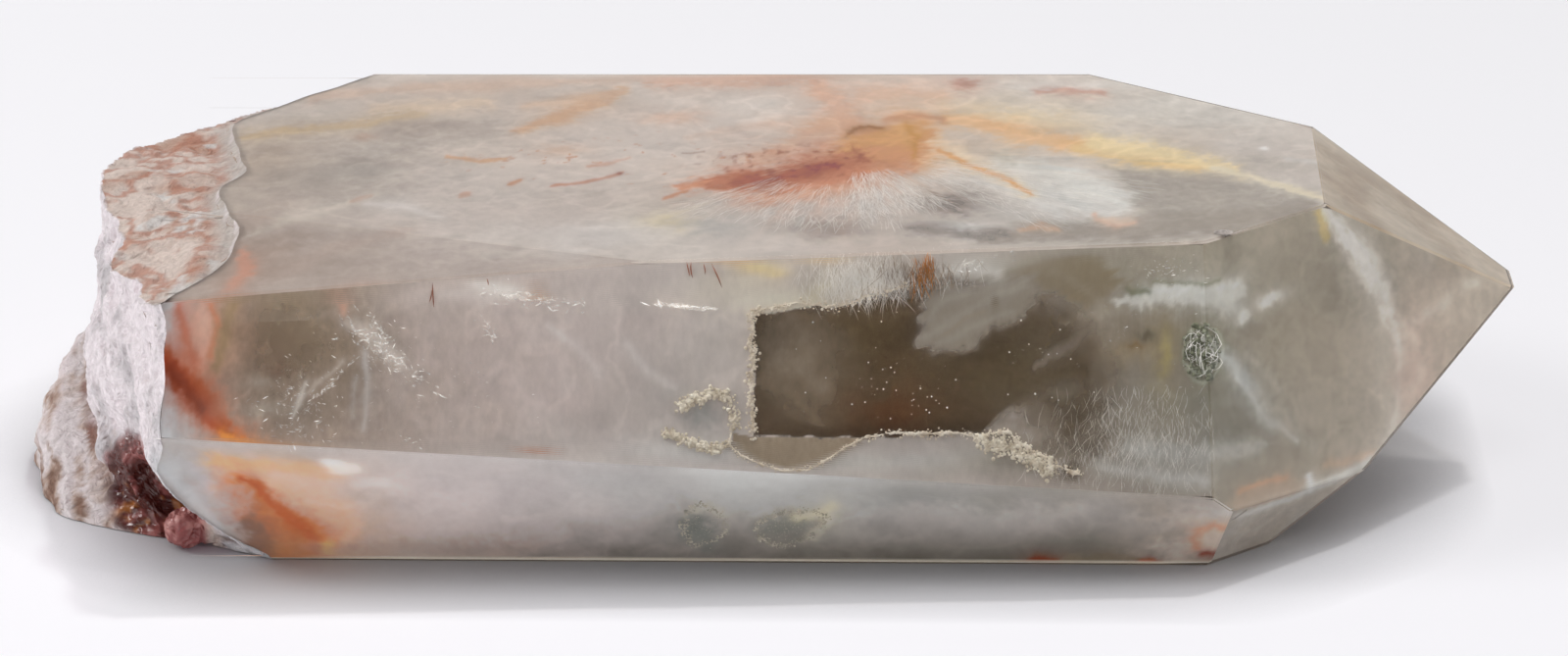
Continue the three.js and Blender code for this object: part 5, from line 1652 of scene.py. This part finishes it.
shards("flakes_right", [
    (25.8, 19.1, 1.1, 0.3, 20, 50, 0.16, 0.18), (30.6, 15.7, 0.9, 0.4, 10, 40, 0.16, 0.18),
    (32.6, 16.8, 1.4, 0.25, 0, 46, 0.22, 0.18), (22.4, 15.2, 2.4, 0.3, 34, 30, 0.12, 0.18),
    (12.9, 19.5, 2.2, 0.3, 10, 70, 0.18, 0.18), (30.4, 13.4, 1.8, 0.5, -52, 40, 0.14, 0.18),
    (17.5, 14.3, 3.4, 0.8, 15, 50, 0.1, 0.9), (23.5, 17.2, 4.0, 0.5, 0, 50, 0.1, 0.18),
    (29.0, 18.4, 3.0, 1.0, 0, 40, 0.09, 0.18), (8.0, 13.0, 5.0, 1.6, 20, 60, 0.07, 1.2),
], GLINT_FAINT, 32)
shards("sparkles", [
    (-30.0, 12.4, 3.4, 3.6, -20, 50, 0.16, 0.18), (-25.0, 15.0, 2.6, 1.4, -34, 60, 0.2, 0.18),
    (-20.0, 13.0, 8.0, 5.0, -20, 40, 0.09, 0.18), (30.0, 15.0, 5.0, 5.0, 0, 50, 0.1, 0.18),
    (26.0, 18.9, 3.5, 0.6, 0, 40, 0.12, 0.18), (-6.0, 17.4, 1.8, 0.06, -4, 40, 0.26, 0.16),
    (10.0, 13.5, 8.0, 3.0, 10, 30, 0.06, 1.0),
], GLINT_WHITE, 33)
speck_chance = np.random.default_rng(41)
speck_x = np.concatenate([
    speck_chance.normal(10.0, 0.7, 16), speck_chance.normal(7.0, 1.2, 12),
    speck_chance.uniform(0.5, 21.0, 34)])
speck_z = np.concatenate([
    speck_chance.normal(10.9, 0.6, 16), speck_chance.normal(12.6, 1.2, 12),
    speck_chance.uniform(10.2, 17.5, 34)])
specks = under("upper_front", speck_x, speck_z, speck_chance.uniform(0.6, 2.6, len(speck_x)))
speck_sizes = speck_chance.uniform(0.025, 0.06, len(specks))
make_piece("specks", grains("specks", specks, speck_sizes, 42), [GLINT_WHITE])

# The table, light and camera. A pale seamless table, a large soft light above
# and behind, and a long lens looking slightly down, as in the photograph.
FLOOR_GAP = 0.06
FLOOR_HALF = 3000.0

floor_mesh = bpy.data.meshes.new("table")
corners = [
    (x * FLOOR_HALF * MM, y * FLOOR_HALF * MM, -FLOOR_GAP * MM)
    for x, y in ((-1, -1), (1, -1), (1, 1), (-1, 1))
]
floor_mesh.from_pydata(corners, [], [(0, 1, 2, 3)])
floor = bpy.data.objects.new("table", floor_mesh)
bpy.context.scene.collection.objects.link(floor)
paper, wire, out = material("pale_paper")
spot = place(wire)
x_spot = wire.add("ShaderNodeSeparateXYZ", None, {0: spot}, 0)
y_spot = wire.add("ShaderNodeSeparateXYZ", None, {0: spot}, 1)
# Painted light and shade on the table: its colour falls off towards the back right, and it gives off a
# painted glow that fades to painted shade close to the crystal, by ambient occlusion.
painted_falloff = (x_spot * 1.2 + y_spot * 2.4 + 0.16).clamp()
open_sky = wire.add("ShaderNodeAmbientOcclusion", {"samples": 12}, {"Distance": 0.009}, 1)
wire.plug(out["Surface"], wire.add("ShaderNodeBsdfPrincipled", None, {
    "Base Color": painted_falloff.blend((0.375, 0.37, 0.384, 1), (0.315, 0.32, 0.316, 1)), "Roughness": 0.9,
    "Specular IOR Level": 0.2, "Emission Color": (open_sky * open_sky).blend(
        (0, 0, 0, 1), painted_falloff.blend((0.58, 0.57, 0.59, 1), (0.42, 0.415, 0.425, 1))),
    "Emission Strength": 1.0}))
floor_mesh.materials.append(paper)


def soft_light(name, place_mm, side_mm, watts):
    """A square softbox at a place, turned to face the origin."""
    lamp = bpy.data.lights.new(name, "AREA")
    lamp.shape = "RECTANGLE"
    lamp.size, lamp.size_y = side_mm * MM, side_mm * MM
    lamp.energy = watts
    holder = bpy.data.objects.new(name, lamp)
    holder.location = Vector(place_mm) * MM
    holder.rotation_euler = (-Vector(place_mm)).to_track_quat("-Z", "Y").to_euler()
    bpy.context.scene.collection.objects.link(holder)


soft_light("key", (660, 1170, 2670), 170, 40.0)
soft_light("left", (-1040, 60, 740), 380, 7.0)
soft_light("above", (0, -95, 895), 400, 1.3)

world = bpy.data.worlds.new("studio")
bpy.context.scene.world = world
world.use_nodes = True
world.node_tree.nodes.clear()
sky = Wire(world.node_tree)
way = sky.add("ShaderNodeTexCoord", output=0)
y_way = sky.add("ShaderNodeSeparateXYZ", None, {0: way}, 1)
z_way = sky.add("ShaderNodeSeparateXYZ", None, {0: way}, 2)
behind = (y_way * 1.6 + 0.2).clamp()
back_glow = behind * ((0.62 - z_way) * 4.0).clamp()
front_glow = (1.0 - behind) * ((0.26 - z_way) * 12.0).clamp()
glow = back_glow.blend((0.12, 0.12, 0.125, 1), (0.46, 0.46, 0.47, 1))
colour = front_glow.blend(glow, (2.2, 2.2, 2.22, 1))
background = sky.add("ShaderNodeBackground", None, {"Color": colour, "Strength": 1.0})
world_out = world.node_tree.nodes.new("ShaderNodeOutputWorld")
sky.plug(world_out.inputs["Surface"], background)

lens = bpy.data.cameras.new("camera")
lens.lens = LENS
lens.sensor_width = SENSOR
lens.clip_start = 0.01
lens.clip_end = 20.0
camera = bpy.data.objects.new("camera", lens)
camera.location = (CAMERA_TARGET - Vector(FORWARD) * CAMERA_DISTANCE) * MM
camera.rotation_euler = (math.pi / 2 - CAMERA_ELEVATION, 0, 0)
bpy.context.scene.collection.objects.link(camera)
scene = bpy.context.scene
scene.camera = camera
scene.view_settings.view_transform = "Standard"
scene.cycles.max_bounces = 24
scene.cycles.transmission_bounces = 16
scene.cycles.transparent_max_bounces = 48
scene.cycles.diffuse_bounces = 8
scene.cycles.glossy_bounces = 8
scene.cycles.caustics_refractive = True
scene.cycles.caustics_reflective = False
scene.cycles.sample_clamp_indirect = 4.0
scene.cycles.use_denoising = True
